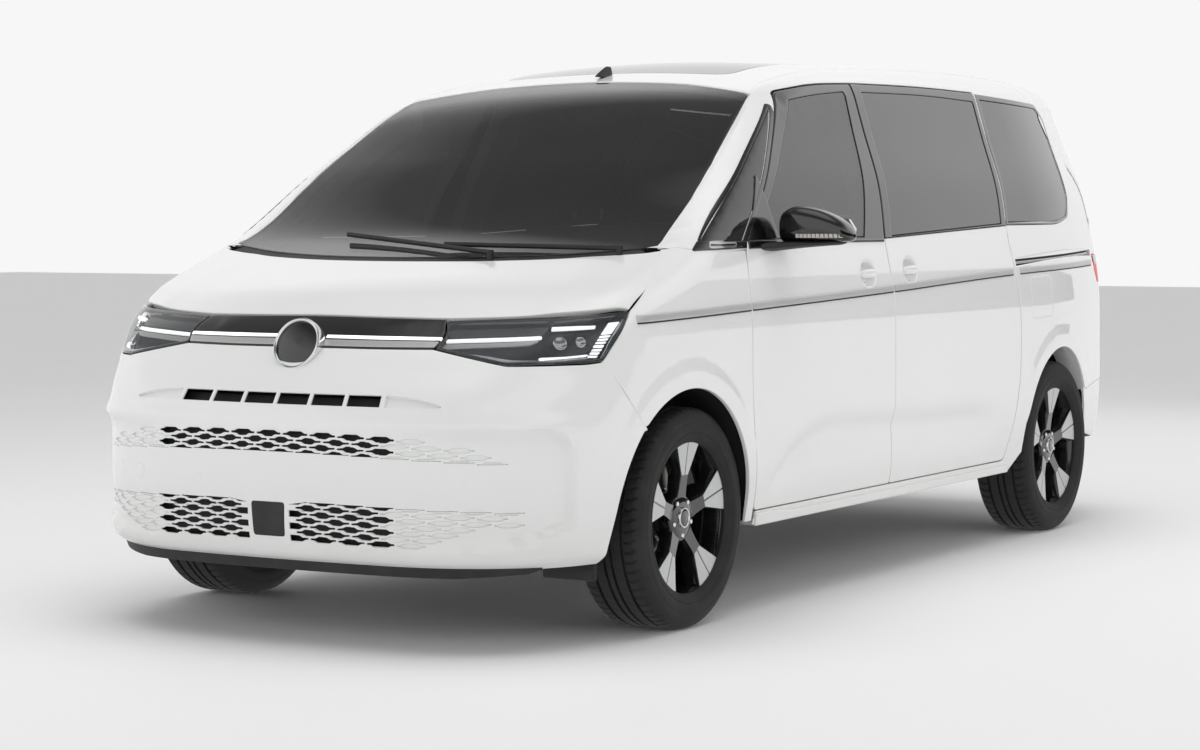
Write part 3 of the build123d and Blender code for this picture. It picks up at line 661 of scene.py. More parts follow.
QUARTER_GLASS = [(-100, 1204, 8), (-350, 1202, 6), (-836, 1640, 30), (-846, 1654, 30), (-560, 1490),
                 (-290, 1322)]
WINDSCREEN = [(10, 822), (-430, 775), (-866, 692, 60), (-940, 400), (-968, 0), (-940, -400),
              (-866, -692, 60), (-430, -775), (10, -822), (130, -560), (205, -280), (228, 0),
              (205, 280), (130, 560)]
ARCH_LENGTH, ARCH_HEIGHT = 395.0, 410.0  # half axes of the wheel-arch ellipses
FRONT_ARCH, REAR_ARCH = 45.0, 15 - AXLES  # and the stations of their middles


def grown(points, d):
    """The same corners moved out by d, corner by corner."""
    p = np.array([c[:2] for c in points], float)
    moved = p - np.sign(signed_area(p)) * inward(p) * d
    return [(*q, *c[2:]) for q, c in zip(moved.tolist(), points)]


def both_sides(half):
    """A closed outline from its left half, listed from the middle to the middle."""
    return half + [(-a, b, *c) for a, b, *c in half[-2:0:-1]]


def unrolled(view, outline, behind=False):
    """An outline drawn in one view, redrawn in the nose view or in the rear corner view."""
    q, _ = land(view, np.array([c[:2] for c in outline], float))
    line, way = (TAIL_LINE, -1) if behind else (NOSE_LINE, 1)
    return [(UNROLLED * np.arctan2(y, way * (s - line)), z, *c[2:]) for (s, y, z),
            c in zip(q.tolist(), outline)]


def arch_line(centre, first, last, count=9):
    """Points of a wheel arch, an ellipse round the axle, from one angle to another (degrees)."""
    t = np.radians(np.linspace(first, last, count))
    return list(zip((centre + ARCH_LENGTH * np.cos(t)).tolist(),
                    (AXLE_Z + ARCH_HEIGHT * np.sin(t)).tolist()))


# %% [markdown]
# ## Relief on the flanks
# A flat flank looks like sheet plastic. The real one has three modelled features: a raised band
# round each wheel arch, a long waist where the silver strip lies, and low down on the doors a
# pocket that starts as a point behind the front wheel, deepens under a crease and fades out before
# the rear one. All three are smooth steps of a distance, added up.

# %% Flank relief
def step(v, low, high):
    """0 below low, 1 above high, with a smooth S between."""
    t = np.clip((v - low) / (high - low), 0, 1)
    return t * t * (3 - 2 * t)


CREASE = [(-2560, 478), (-2448, 494), (-1769, 524), (-1163, 546), (-900, 548), (-760, 520),
          (-631, 473), (-530, 415), (-472, 375)]
LOW_EDGE = [(-2560, 380), (-1810, 372), (-1195, 388), (-728, 384), (-472, 372)]
crease_z, low_edge_z = curve(CREASE), curve(LOW_EDGE)


def flank_relief(q):
    """Arch flares and the low pocket, as an outward push in mm."""
    s, y, z = q.T
    side = step(np.abs(y), 620, 760)
    flare = 0
    for centre in (FRONT_ARCH, REAR_ARCH):
        r = np.hypot((s - centre) / ARCH_LENGTH, (z - AXLE_Z) / ARCH_HEIGHT)
        flare = flare + 5.0 * (1 - step(r, 1.15, 1.19)) * step(z, 250, 420)
    top, low = crease_z(s), low_edge_z(s)
    height = np.maximum(top - low, 12.0)
    t = (z - low) / height
    ahead = step(s, -1200, -500) * step(-s, 470, 560)
    depth = 17 * step(s, -2600, -2150) * step(-s, 480, 760) + 7 * ahead
    profile = np.where(t > 1, np.exp(-((t - 1) * height / 46)**2), np.clip(t, 0, 1)**1.35)
    pocket = -depth * np.where(t > 0, profile, 0) * step(s, -2620, -2300) * step(-s, 465, 520)
    return side * (np.minimum(flare, 5.0) + pocket)


# %% [markdown]
# ## Door skins
# Each door is a closed shell with its window cut through. The skin is painted; above the waist the
# frame round the glass is piano black, so the frame is a second, thinner panel laid over the shell.

# %% Doors
HANDLES = {"front": (-1263, 1085), "slide": (-1622, 1092)}


def handle_bowl(centre):
    """Flank relief with a round bowl behind a door handle."""
    s0, z0 = centre

    def relief(q):
        """The push at each point."""
        r = np.hypot((q[:, 0] - s0) / 64, (q[:, 2] - z0) / 49)
        return flank_relief(q) - 24 * (1 - step(r, 0.5, 1.0))
    return relief


for door, outline, window, where, stands in (
        ("front", FRONT_DOOR, FRONT_GLASS, DOORS, {"stands_for": ["front_door_SIDE"]}),
        ("slide", SLIDE_DOOR, SLIDE_GLASS, "chassis", {"whole": "sliding_doors"})):
    spot = HANDLES[door]
    skin = panel(side_view, outline, [window], wall=30, grow=0.5, cell=20, relief=handle_bowl(spot),
                 dense=[(*spot, 74, 60, 5.0)])
    pair(f"{door}_door_skin", skin, door_white, on=where, **stands)
    print(door, "door", len(skin[0]), "points")

# %% [markdown]
# ## Body side, wing, bonnet and roof
# The body side is one pressing from the windscreen pillar over the doors to the tail, so it is
# drawn in the wrapped view, where nothing is seen edge-on. Bonnet, roof and windscreen are drawn in
# plan.

# %% Body side and wings
ROOF_SEAM = 652.0
door_top = [(-386, 1204, 6), (-950, 1712, 120), (-1250, 1750), (-1558, 1766), (-2200, 1778),
            (-2702, 1776, 14), (-2598, 1235), (-2615, 1110), (-2655, 860), (-2645, 640),
            (-2592, 470), (-2528, 334, 40)]
door_line = grown([(-400, 334)] + door_top + [(-1460, 334)], 4.0)[1:-1]
seam = [(-3770, ROOF_SEAM), (-3400, ROOF_SEAM), (-2400, ROOF_SEAM), (-1300, ROOF_SEAM),
        (-985, ROOF_SEAM + 10), (-868, 694), (-430, 777), (8, 824, 6)]
foot = [(24, 1185, 4), (-60, 1174), (-374, 1180, 4)]
sill = [(-420, 330, 6), (-408, 286, 6), (-2585, 286, 10)] + arch_line(REAR_ARCH, 22, 146, 11)
rear = [(-3450, 566, 6), (-3944, 612, 6)]
lamp_edge = [(-3748, 996, 6), (-3705, 1060), (-3688, 1132, 6)]
tail_low = [(840, 700), (841, 900), (840, 992, 6)]
tail_high = [(838, 1132, 6), (834, 1250), (782, 1560), (732, 1730), (704, 1788)]
side_outline = (wrapped(plan_view, seam) + wrapped(side_view, foot + door_line + sill + rear)
                + wrapped(tail_view, tail_low) + wrapped(side_view, lamp_edge)
                + wrapped(tail_view, tail_high))
flap = [(-2766, 1046, 24), (-2990, 1052, 24), (-2996, 890, 24), (-2772, 884, 24)]
rail_slot = [(-2640, 1092, 4), (-2640, 1118, 4), (-3668, 1146, 4), (-3668, 1120, 4)]
side_holes = [wrapped(side_view, h) for h in (REAR_GLASS, QUARTER_GLASS, rail_slot,
                                              grown(flap, 1.7))]
side_skin = panel(wrap_view, side_outline, side_holes, wall=5.0, roll=2.5, proud=1.4, cell=24,
                  relief=flank_relief)
pair("body_side_skin", side_skin, white)
pair("fuel_flap", panel(side_view, flap, wall=3.6, roll=1.2, proud=0.8, relief=flank_relief), white)

wing_outline = ([(486, 853, 6), (352, 1004, 6), (26, 1183, 4), (-60, 1171), (-367, 1177, 4)]
                + [(a + 4, b) for a, b in DOOR_EDGE[1:-1]] + [(-397, 300, 4), (-351, 300, 4)]
                + arch_line(FRONT_ARCH, 183, 47, 13))
wing_skin = panel(wrap_view, wrapped(side_view, wing_outline), wall=8.0, cell=20,
                  relief=flank_relief)
pair("wing_skin", wing_skin, white, whole="front_wings")

# %% Bonnet, roof and windscreen


def mirrored(half):
    """A closed plan outline from its left half, listed from the left edge to the middle."""
    return half + [(a, -b, *c) for a, b, *c in half[::-1] if abs(b) > 1e-6]


def plan_of(view, outline):
    """An outline drawn in one view, redrawn in plan."""
    q, _ = land(view, np.array([c[:2] for c in outline], float))
    return [(s, y, *c[2:]) for (s, y, _), c in zip(q.tolist(), outline)]


LEAD = [(0, 985), (252, 982), (514, 980), (700, 986), (827, 992), (1000, 1000), (1138, 1008, 8)]
LEAD_SIDE = [(250, 1064), (140, 1126), (76, 1158)]
lead = plan_of(nose_view, LEAD) + plan_of(side_view, LEAD_SIDE) + [(35, 846, 3)]
bonnet_back = mirrored([(60, 812), (172, 560), (246, 280), (268, 0)])
bonnet_outline = bonnet_back + [(a, -b, *c) for a, b, *c in lead[::-1]] + lead[1:]


def bonnet_relief(q):
    """Two long soft creases that run forward from the pillars."""
    line = 700 - 0.25 * (300 - q[:, 0])
    return 3.0 * np.exp(-((np.abs(q[:, 1]) - line) / 60)**2) * step(q[:, 0], 60, 200)


put("bonnet_skin", panel(plan_view, bonnet_outline, wall=20, cell=26, relief=bonnet_relief), white,
    on="hood", stands_for=["bonnet"])
roof_glass = [(-1120, 470, 60), (-1140, 0), (-1120, -470, 60), (-3300, -470, 60), (-3300, 470, 60)]
roof_outline = mirrored([(-3778, 648, 6), (-3400, 648), (-2400, 648), (-1300, 648), (-985, 658),
                         (-872, 688, 6), (-944, 400), (-972, 0)])
put("roof_skin", panel(plan_view, roof_outline, [roof_glass], wall=4, roll=2.5, proud=0.8, cell=34),
    white)
put("roof_pane", panel(plan_view, roof_glass, wall=7, roll=1.5, proud=0.4, cell=40, grow=-2.5),
    dark_glass, stands_for=["roof_glass"])
put("windscreen_pane", panel(plan_view, WINDSCREEN, wall=6, roll=1.2, proud=-1.5, cell=40,
                             grow=-2.0), clear_glass, stands_for=["windscreen"])
for window, line, glass, where, stands in (
        ("rear_quarter", REAR_GLASS, dark_glass, "chassis", {"whole": "fixed_side_glass"}),
        ("front_quarter", QUARTER_GLASS, door_glass, "chassis", {}),
        ("slide_door", SLIDE_GLASS, dark_glass, "chassis", {"whole": "sliding_door_glass"}),
        ("front_door", FRONT_GLASS, door_glass, DOORS, {"stands_for": ["front_door_glass_SIDE"]})):
    skin = panel(side_view, line, wall=5.5, roll=1.2, proud=-1.2, cell=40, grow=-1.5)
    pair(window + "_pane", skin, glass, on=where, **stands)

# %% [markdown]
# ## Black frames and the silver waist strip
# Round the glass the real panels wear a piano-black film or moulding, which makes the separate
# windows read as one dark band. The silver strip at the waist is a thin extrusion clipped to each
# panel, so it is cut at every shut line too.

# %% Frames and strips
front_frame = [(-388, 1203, 5), (-1440, 1201, 6), (-1552, 1763, 10), (-1250, 1749),
               (-951, 1711, 120)]
slide_frame = [(-1453, 1206, 6), (-2601, 1248, 6), (-2700, 1775, 12), (-2200, 1777),
               (-1565, 1765, 10)]
rear_frame = [(-2607, 1250, 5), (-3190, 1253), (-3360, 1282, 60), (-3426, 1372, 60), (-3456, 1560),
              (-3480, 1700, 40), (-3412, 1758, 50), (-2711, 1774, 8)]
quarter_frame = [(-84, 1200, 8), (-379, 1203, 5), (-858, 1638, 10), (-872, 1664, 20),
                 (-846, 1668, 30), (-554, 1497), (-280, 1329)]
for name, outline, window, where, roll, proud, cell in (
        ("front_door_frame", front_frame, FRONT_GLASS, DOORS, 1.5, 1.4, 30),
        ("slide_door_frame", slide_frame, SLIDE_GLASS, "chassis", 1.5, 1.4, 30),
        ("rear_quarter_frame", rear_frame, REAR_GLASS, "chassis", 1.5, 2.0, 30),
        ("quarter_frame", quarter_frame, QUARTER_GLASS, "chassis", 1.0, 2.6, 16)):
    skin = panel(side_view, outline, [window], wall=2.5, roll=roll, proud=proud, cell=cell)
    pair(name, skin, piano, on=where)
pair("pillar_plate",
     panel(side_view, [(-40, 1177, 5), (-376, 1182, 4), (-384, 1206, 4), (-92, 1206, 10)], wall=4,
           roll=2, proud=3.0, cell=12), piano)
pair("belt_moulding",
     panel(side_view, [(-392, 1180, 4), (-660, 1182, 30), (-760, 1196, 30), (-1436, 1195, 3),
                       (-1438, 1206, 3), (-394, 1207, 4)], wall=5, roll=2.5, proud=4.0, cell=14),
     piano, on=DOORS)
pair("plate_rim",
     panel(side_view, [(-128, 1185, 3), (-300, 1188, 3), (-308, 1202, 3), (-140, 1202, 3)],
           [[(-136, 1188, 2), (-297, 1190.5, 2), (-303, 1199.5, 2), (-144, 1199.5, 2)]], wall=2,
           roll=0.7, proud=4.2, cell=8, step=6), satin, slot="chrome")

strip_low = curve([(-3640, 1078), (-2597, 1056), (-1456, 1016), (352, 962)])


def strip(s0, s1, low, high, **more):
    """A band that follows the waist between two stations."""
    s = np.linspace(s0, s1, 12)
    z = strip_low(s)
    return panel(side_view, [(s0, z[0] + low, 2)] + list(zip(s[1:-1], z[1:-1] + low))
                 + [(s1, z[-1] + low, 2)] + [(s1, z[-1] + high, 2)]
                 + list(zip(s[-2:0:-1], z[-2:0:-1] + high)) + [(s0, z[0] + high, 2)],
                 relief=flank_relief, cell=12, step=24, **more)


for part, s0, s1, where in (("wing", 340, -346, "chassis"), ("front_door", -359, -1450, DOORS),
                            ("slide_door", -1466, -2596, "chassis"),
                            ("side", -2668, -3640, "chassis")):
    pair(f"{part}_strip", strip(s0, s1, 4, 25, wall=4, roll=1.5, proud=5), satin, on=where)
    pair(f"{part}_strip_foot", strip(s0, s1, 0, 4.2, wall=3, roll=1.0, proud=3), grained, on=where)

rail = panel(side_view, [(-2650, 1100, 2), (-2650, 1110, 2), (-3650, 1138, 2), (-3650, 1128, 2)],
             wall=8, roll=2, proud=-8, cell=12, step=24)
pair("slide_rail", rail, satin, whole="slide_rails")
slot_floor = panel(side_view, [(-2636, 1088, 4), (-2636, 1122, 4), (-3672, 1150, 4),
                               (-3672, 1116, 4)], wall=2, roll=0.5, proud=-20, cell=24)
pair("rail_slot_floor", slot_floor, grained)
pair("sill_trim",
     panel(side_view, [(-412, 324, 4), (-520, 326, 60), (-700, 312, 60), (-2574, 312, 10),
                       (-2584, 282, 10), (-420, 282, 10)], wall=12, roll=5, proud=9, cell=14),
     white, whole="sill_trims")

# %% [markdown]
# ## Door handles
# A handle is a bar that bridges a bowl. The bar is a rounded profile carried along the waist: its
# height above the skin follows a flat arch, so that fingers fit behind its middle.


# %% Handle bars
def bar_over(s0, z0, length=124.0, wide=32.0, rise=19.0):
    """A closed tube of flattened-oval section whose middle stands off the skin by rise."""
    t = np.linspace(-1, 1, 33)
    a = circle(18)
    centre = np.stack([s0 + t * length / 2, 0 * t + z0], 1)
    q, n = land(side_view, centre)
    lift = rise * (1 - np.abs(t)**4) * 0.55 - 3
    round_off = np.sqrt(np.clip(1 - np.abs(t)**6, 0.02, 1))
    across = wide / 2 * round_off[:, None] * np.sign(np.sin(a)) * np.abs(np.sin(a))**0.8
    out = 7.0 * round_off[:, None] * np.cos(a)
    return loft(q[:, None] + n[:, None] * (lift[:, None] + out)[..., None]
                           + np.array([0, 0, 1.0]) * across[..., None])


for door, where in (("front", DOORS), ("slide", "chassis")):
    pair(f"{door}_handle", bar_over(*HANDLES[door]), white, on=where)

# %% [markdown]
# ## The nose
# The bumper skin carries most of the van's face: a tapering slot with six openings, and below a
# step a wide shallow recess with two honeycombs. The middle cells are open and the outer ones only
# pressed in, so the same cell outline serves twice, once as a hole and once as a pocket. A dark
# board set 34 mm back closes the view through the holes, as the radiator does on the real van.

# %% Honeycomb cells
CELL_PITCH, POCKET_DEPTH = 96.0, 5.0
CELL = np.array([(-45.5, 0), (-43, 3.2), (-34, 3.2), (-21, 9.6), (21, 9.6), (34, 3.2), (43, 3.2),
                 (45.5, 0), (43, -3.2), (34, -3.2), (21, -9.6), (-21, -9.6), (-34, -3.2),
                 (-43, -3.2)], float)


def honeycomb(rows, droop, open_to, ends, gap_half, low_half=False, high_half=False):
    """Cells CELL_PITCH apart, every second row shifted by half. Returns holes and pockets."""
    holes, pockets = [], []
    for k, z in enumerate(rows):
        for a in np.arange(-10 * CELL_PITCH + CELL_PITCH / 2 * (k % 2), 10 * CELL_PITCH + 1,
                           CELL_PITCH):
            if abs(a) > ends[k] or abs(a) < gap_half:
                continue
            c = CELL
            if low_half and k == len(rows) - 1:
                c = c[c[:, 1] >= 0]
            if high_half and k == 0:
                c = c[c[:, 1] <= 0]
            if gap_half and abs(a) - 45 < gap_half:
                c = c[np.sign(a) * (c[:, 0] + a) > gap_half + 4]
            level = z - droop * (a / 900)**2
            c = c + [a, level]
            if abs(a) <= open_to:
                holes.append(c)
            else:
                c[:, 1] = (c[:, 1] - level) * 0.92 + level
                pockets.append((c, POCKET_DEPTH))
    return holes, pockets


upper_rows = [640.0, 622.0, 604.0, 586.0]
lower_rows = [440.0, 421.5, 403.0, 384.5, 366.0, 347.5, 329.0]
upper = honeycomb(upper_rows, 34, 392, [560, 640, 720, 800], 0, low_half=True)
lower = honeycomb(lower_rows, 26, 400, [810, 760, 770, 700, 640, 560, 480], 62, high_half=True)
print("cells", len(upper[0]), len(upper[1]), len(lower[0]), len(lower[1]))

# %% Bumper skin


RECESS_HALF, RECESS_TOP, RECESS_CORNER = 948, 655, 70  # unrolled width, height and corner size


def bumper_relief(q):
    """The recess round both honeycombs, the chin roll and the wheel-arch flare."""
    s, y, z = q.T
    a = np.abs(UNROLLED * np.arctan2(y, s - NOSE_LINE))
    low = np.interp(a, [0, 500, 800, 960], [296, 300, 330, 380])
    side = RECESS_HALF - RECESS_CORNER
    edge = np.minimum(np.minimum(RECESS_TOP - z, z - low), RECESS_HALF - a)
    corner = np.hypot(np.minimum(side - a, 0), np.minimum(RECESS_TOP - 60 - z, 0))
    edge = np.where((a > side) & (z > RECESS_TOP - 60), np.minimum(edge, 64 - corner), edge)
    deep = step(a, 250, 880) * 16 + 3
    recess = -deep * step(edge, -4, 14)
    ridge = 7 * np.exp(-((z - 676) / 16)**2) * (1 - step(a, 880, 990)) * step(a, 80, 500)
    chin = -34 * (1 - step(z, 232, 292))**1.5
    r = np.hypot((s - FRONT_ARCH) / ARCH_LENGTH, (z - AXLE_Z) / ARCH_HEIGHT)
    flare = 4.0 * (1 - step(r, 1.15, 1.19)) * step(np.abs(y), 760, 860) * step(z, 250, 420)
    return recess + ridge + chin + flare


half_bumper = unrolled(side_view, [(484, 851, 6), (302, 642)] + arch_line(FRONT_ARCH, 46, 8, 7)
                       + [(452, 300), (455, 244, 10)])
half_bumper = [(620, 236)] + half_bumper[::-1]
LAMP_LOW = [(1046, 854, 6), (997, 848), (746, 846, 70), (625, 868), (497, 891, 20), (308, 889)]
half = [(0.0, 236)] + half_bumper[:-1] + LAMP_LOW + [(0.0, 890)]
bumper_outline = both_sides(half)
SLOT_LOW, SLOT_HIGH, SLOT_WIDE, SLOT_PITCH = 726, 759, 112, 125.0
slots = [[(a, SLOT_LOW, 2), (a + SLOT_WIDE, SLOT_LOW, 2), (a + SLOT_WIDE, SLOT_HIGH, 2),
          (a, SLOT_HIGH, 2)] for a in np.arange(6) * SLOT_PITCH - 368.5]
tip_a = np.linspace(383, 566, 15)
tip_half = 20 * np.sqrt(np.clip(1 - (tip_a / 568)**3.2, 0, 1))
tip_middle = 743 - 12 * ((tip_a - 383) / 183)**2
tip = np.concatenate([np.stack([tip_a, tip_middle - tip_half], 1),
                      np.stack([tip_a, tip_middle + tip_half], 1)[::-1]])
tips = [(tip, 10.0), (tip * [-1, 1], 10.0)]
bumper = panel(nose_view, bumper_outline, slots, wall=5, roll=1.3, cell=17, relief=bumper_relief,
               radius=14, cells=upper[0] + lower[0], embossed=upper[1] + lower[1] + tips)
put("bumper_skin", bumper, white, stands_for=["front_bumper"])
print("bumper", len(bumper[0]), "points")
BACKINGS = ((392, 716, 766), (450, 570, 655), (455, 306, 458))  # half width, low, high
backing = [panel(nose_view, [(-w, lo, 10), (w, lo, 10), (w, hi, 10), (-w, hi, 10)], wall=3,
                 roll=0.5, proud=-34, cell=60) for w, lo, hi in BACKINGS]
put("grille_backing", merged(*backing), seal, stands_for=["front_grille"])
radar = panel(nose_view, [(-58, 330, 12), (58, 330, 12), (62, 436, 12), (-62, 436, 12)], wall=20,
              roll=3, proud=-2, cell=20)
put("radar_cover", radar, grained)
SENSORS = ((255, 505, 11), (-255, 505, 11), (640, 520, 11), (-640, 520, 11), (-520, 500, 34))
dots = []
for a, z, r in SENSORS:
    loop = rounded([(a + r, z), (a, z + r), (a - r, z), (a, z - r)], r * 3, 4).tolist()[::3]
    dots.append(panel(nose_view, loop, wall=2, roll=1.2, proud=0.6, cell=9, radius=30,
                      relief=bumper_relief))
put("sensor_covers", merged(*dots), white)
splitter = panel(nose_view, [(-600, 213, 10), (600, 213, 10), (820, 226, 10), (880, 246, 6),
                             (-880, 246, 6), (-820, 226, 10)], wall=60, roll=3, proud=-24, cell=40)
put("splitter", splitter, grained)

# %% [markdown]
# ## Lamps with depth
# A lamp reads as a lamp because it is a box with things inside: a black frame round the opening, a
# dark housing at the back, and between them light guides, a silver wedge and a projector, all
# behind a thin clear cover. Everything is drawn in the nose view and laid at its own depth under
# the skin. The light guide runs on from the bar in the middle, so bar and lamps look like one line.

# %% Headlamps
LAMP = [(500, 895, 8), (625, 872), (746, 850, 70), (997, 852), (1048, 858, 10), (1114, 946),
        (1137, 1002, 8), (1000, 994), (827, 986), (514, 974, 6), (530, 935)]


def nose_piece(corners, proud, wall=4.0, roll=1.0, cell=26, **more):
    """A panel in the nose view at its own depth."""
    return panel(nose_view, corners, wall=wall, roll=roll, proud=proud, cell=cell, **more)


def bar_line(points, half, taper=0.0):
    """A thin outline along (angle, height) points, half its thickness to each side, thinning by
    taper."""
    p = np.array(points, float)
    w = half * (1 - taper * np.linspace(0, 1, len(p)))
    return ([(a, z - h, 1) for (a, z), h in zip(p, w)]
            + [(a, z + h, 1) for (a, z), h in zip(p[::-1], w[::-1])])


pair("lamp_frame", nose_piece(LAMP, -1.0, 44, 2.0, holes=[grown(LAMP, -9)]), piano)
pair("lamp_housing", nose_piece(grown(LAMP, -2), -41.0), grained)
pair("lamp_cover", nose_piece(grown(LAMP, -0.5), 0.6, 2.4, 1.2), lens, whole="headlamps")
upper_mask = [(518, 932, 4), (700, 940), (850, 946, 6), (872, 984, 6), (700, 976), (516, 968, 4)]
pair("lamp_mask", nose_piece(upper_mask, -15), piano)
pair("lamp_guide", nose_piece(bar_line([(526, 923), (690, 930), (846, 937)], 4.4, 0.15), -9, 8, 2.5,
                              12), led_white)
pair("lamp_silver_strip",
     nose_piece([(517, 899, 3), (640, 905), (812, 914, 6), (846, 929, 4), (690, 921),
                 (522, 914, 3)], -12), satin)
wedge = [(545, 893, 3), (640, 876), (746, 859, 60), (1000, 862, 6), (1004, 870, 4), (890, 868),
         (760, 873, 60), (650, 891)]
pair("lamp_wedge", nose_piece(wedge, -16), reflector)
pair("lamp_low_guide", nose_piece(bar_line([(842, 872.5), (930, 873.5), (1000, 877)], 2.2), -12, 6,
                                  1.0, 12), led_white)
pair("lamp_high_guide", nose_piece(bar_line([(874, 962), (950, 963.5), (1022, 964)], 4.6), -9, 8,
                                   2.0, 12), led_white)
ladder = []
stops = [0.0, 0.34] + [v for k in range(7) for v in (0.375 + 0.089 * k, 0.435 + 0.089 * k)]
for t0, t1 in zip(stops[::2], stops[1::2]):
    left = lambda t: (1068 + (998 - 1068) * t, 976 + (867 - 976) * t)
    right = lambda t: (1110 + (1026 - 1110) * t, 977 + (865 - 977) * t)
    ladder.append(nose_piece([(*left(t1), 2), (*right(t1), 2), (*right(t0), 2), (*left(t0), 2)],
                             -13, 7, 1.5, 14))
pair("lamp_ladder", merged(*ladder), led_white)
pair("lamp_side_strip",
     nose_piece([(1038, 866, 2), (1048, 870, 2), (1114, 962, 4), (1122, 984, 4), (1116, 984, 3)],
                -9), reflector)
shelf = [(870, 888, 8), (968, 880, 8), (1008, 884, 4), (1040, 935, 4), (1022, 955, 6),
         (868, 952, 10)]
pair("lamp_shelf",
     nose_piece(shelf, -24,
                holes=[[(a + r, 920, 40), (a, 920 + r, 40), (a - r, 920, 40), (a, 920 - r, 40)]
                       for a, r in ((908, 25), (978, 21))]), grained)


def dome(a, z, radius, deep, rise):
    """A glass dome or a flat ring: rings of points round the surface normal at a place in the nose
    view."""
    q, n = land(nose_view, np.array([(a, z)], float))
    n = n[0]
    count = 28
    u = np.cross([0, 0, 1.0], n)
    u /= np.linalg.norm(u)
    w = np.cross(n, u)
    t = circle(count)
    rows = [(radius, -14.0), (radius, 0.0)] + [(radius * np.cos(b), rise * np.sin(b))
                                               for b in np.radians([18, 38, 58, 76])]
    ring = np.cos(t)[:, None] * u + np.sin(t)[:, None] * w
    points = [q[0] + n * (deep + h) + r * ring for r, h in rows]
    ends = [q[0] + n * (deep - 14), q[0] + n * (deep + rise)]
    k, m = np.arange(count), len(rows)
    last, tip = (m - 1) * count, 0 * k + m * count
    caps = [np.stack([(k + 1) % count, k, tip], 1),
            np.stack([k + last, (k + 1) % count + last, tip + 1], 1)]
    return np.concatenate([*points, ends]), [grid(m, count, round_cols=True)[:, ::-1], *caps]


# %% Light bar and bare badge
bar_outline = [(0, 893), (300, 892), (493, 894, 6), (522, 934), (508, 978, 4), (252, 981), (0, 984)]
put("light_bar_panel", nose_piece(both_sides(bar_outline), -1.5, 16, 2.0, 30), piano,
    stands_for=["light_bar"])
guide = nose_piece(bar_line([(84, 923), (300, 922.5), (517, 923)], 4.4), 1.4, 6, 2.0, 12)
pair("bar_guide", guide, led_white)
pair("bar_silver_strip",
     nose_piece([(74, 896.5, 2), (300, 896, 2), (500, 898, 2), (512, 914, 3), (300, 913.5),
                 (80, 914, 3)], 1.0), satin)
badge_normal = np.array([1, 0, 0.42]) / np.hypot(1, 0.42)
badge_up = np.array([-0.42, 0, 1]) / np.hypot(1, 0.42)


def badge_turned(profile):
    """(radius, depth) points turned round the badge's own axis."""
    r, d = np.array(profile, float).T
    count = 80
    a = circle(count)
    ring = np.cos(a)[:, None] * np.array([0, 1.0, 0]) + np.sin(a)[:, None] * badge_up
    points = (np.array([772, 0, 899]) + ring[:, None] * r[None, :, None]
              + badge_normal * d[None, :, None])
    return facing_out((points.reshape(-1, 3), [grid(count, len(r), True, True)]))


pair("lamp_projector", facing_out(merged(dome(908, 920, 22, -20, 11), dome(978, 920, 17, -22, 8))),
     reflector)
put("badge_ring",
    badge_turned([(73, 0), (73, 6), (75, 8.5), (79, 9.5), (82, 8), (83.7, 4), (83.7, -22),
                  (73, -22)]), chrome, stands_for=["badge"])
put("badge_face",
    badge_turned([(0.4, -18), (0.4, 7.5), (30, 6.5), (56, 4), (72.8, 1), (72.8, -18)]), piano)

# %% [markdown]
# ## Door mirrors
# A mirror head is a closed shell swept sideways: each slice across the van is a rounded box, taller
# and deeper near the door, and the slices close to a tip. Its foot grows out of the black belt
# trim. A thin row of lit blocks runs along the front edge, and the glass faces back.

# %% Mirrors
def sweep_y(rows, power=2.8):
    """A closed body through slices. A row is (width y, middle station, half length, low, high)."""
    t = circle(40)
    c, s = np.cos(t), np.sin(t)
    rounded_c, rounded_s = np.sign(c) * np.abs(c)**(2 / power), np.sign(s) * np.abs(s)**(2 / power)
    slices = [np.stack([m + h * rounded_c, 0 * t + y, (lo + hi) / 2 + (hi - lo) / 2 * rounded_s], 1)
              for y, m, h, lo, hi in rows]
    return loft(slices)


def smooth_rows(rows, count=26):
    """More slices between the given ones, on smooth curves."""
    rows = np.array(rows, float)
    y = rows[0, 0] + (rows[-1, 0] - rows[0, 0]) * (1 - np.cos(np.linspace(0, np.pi, count))) / 2
    sign = np.sign(rows[-1, 0] - rows[0, 0])
    return np.stack([y] + [curve(list(zip(sign * rows[:, 0], rows[:, k])))(sign * y)
                           for k in range(1, 5)], 1)


head = [(952, -612, 34, 1214, 1262), (958, -612, 52, 1204, 1290), (975, -610, 64, 1200, 1308),
        (1010, -606, 70, 1199, 1320), (1060, -604, 69, 1199, 1316), (1110, -606, 64, 1200, 1302),
        (1150, -610, 56, 1201, 1282), (1180, -616, 43, 1203, 1258), (1194, -622, 28, 1208, 1238),
        (1199, -626, 10, 1216, 1228)]
pair("mirror_head", sweep_y(smooth_rows(head)), piano, on=DOORS, stands_for=["mirror_SIDE"])
foot_rows = [(925, -560, 92, 1172, 1200), (950, -566, 86, 1174, 1202), (985, -578, 74, 1178, 1204),
             (1040, -592, 60, 1184, 1206), (1110, -604, 48, 1190, 1206),
             (1160, -612, 34, 1195, 1207), (1172, -614, 14, 1199, 1205)]
pair("mirror_foot", sweep_y(smooth_rows(foot_rows, 18), 2.4), grained, on=DOORS)
blocks, lead_s = [], curve([(r[0], r[1] + r[2]) for r in head])
for y0 in np.arange(1030, 1176, 14.0):
    y1 = y0 + 10.5
    a, b = lead_s(np.array([y0, y1])) + 1.2
    blocks.append(loft([np.array([[s - 12, y, 1216], [s - 2.6, y, 1216], [s - 1.5, y, 1229],
                                  [s - 12, y, 1229]]) for s, y in ((a, y0), (b, y1))]))
pair("mirror_indicator", merged(*blocks), indicator, on=DOORS)
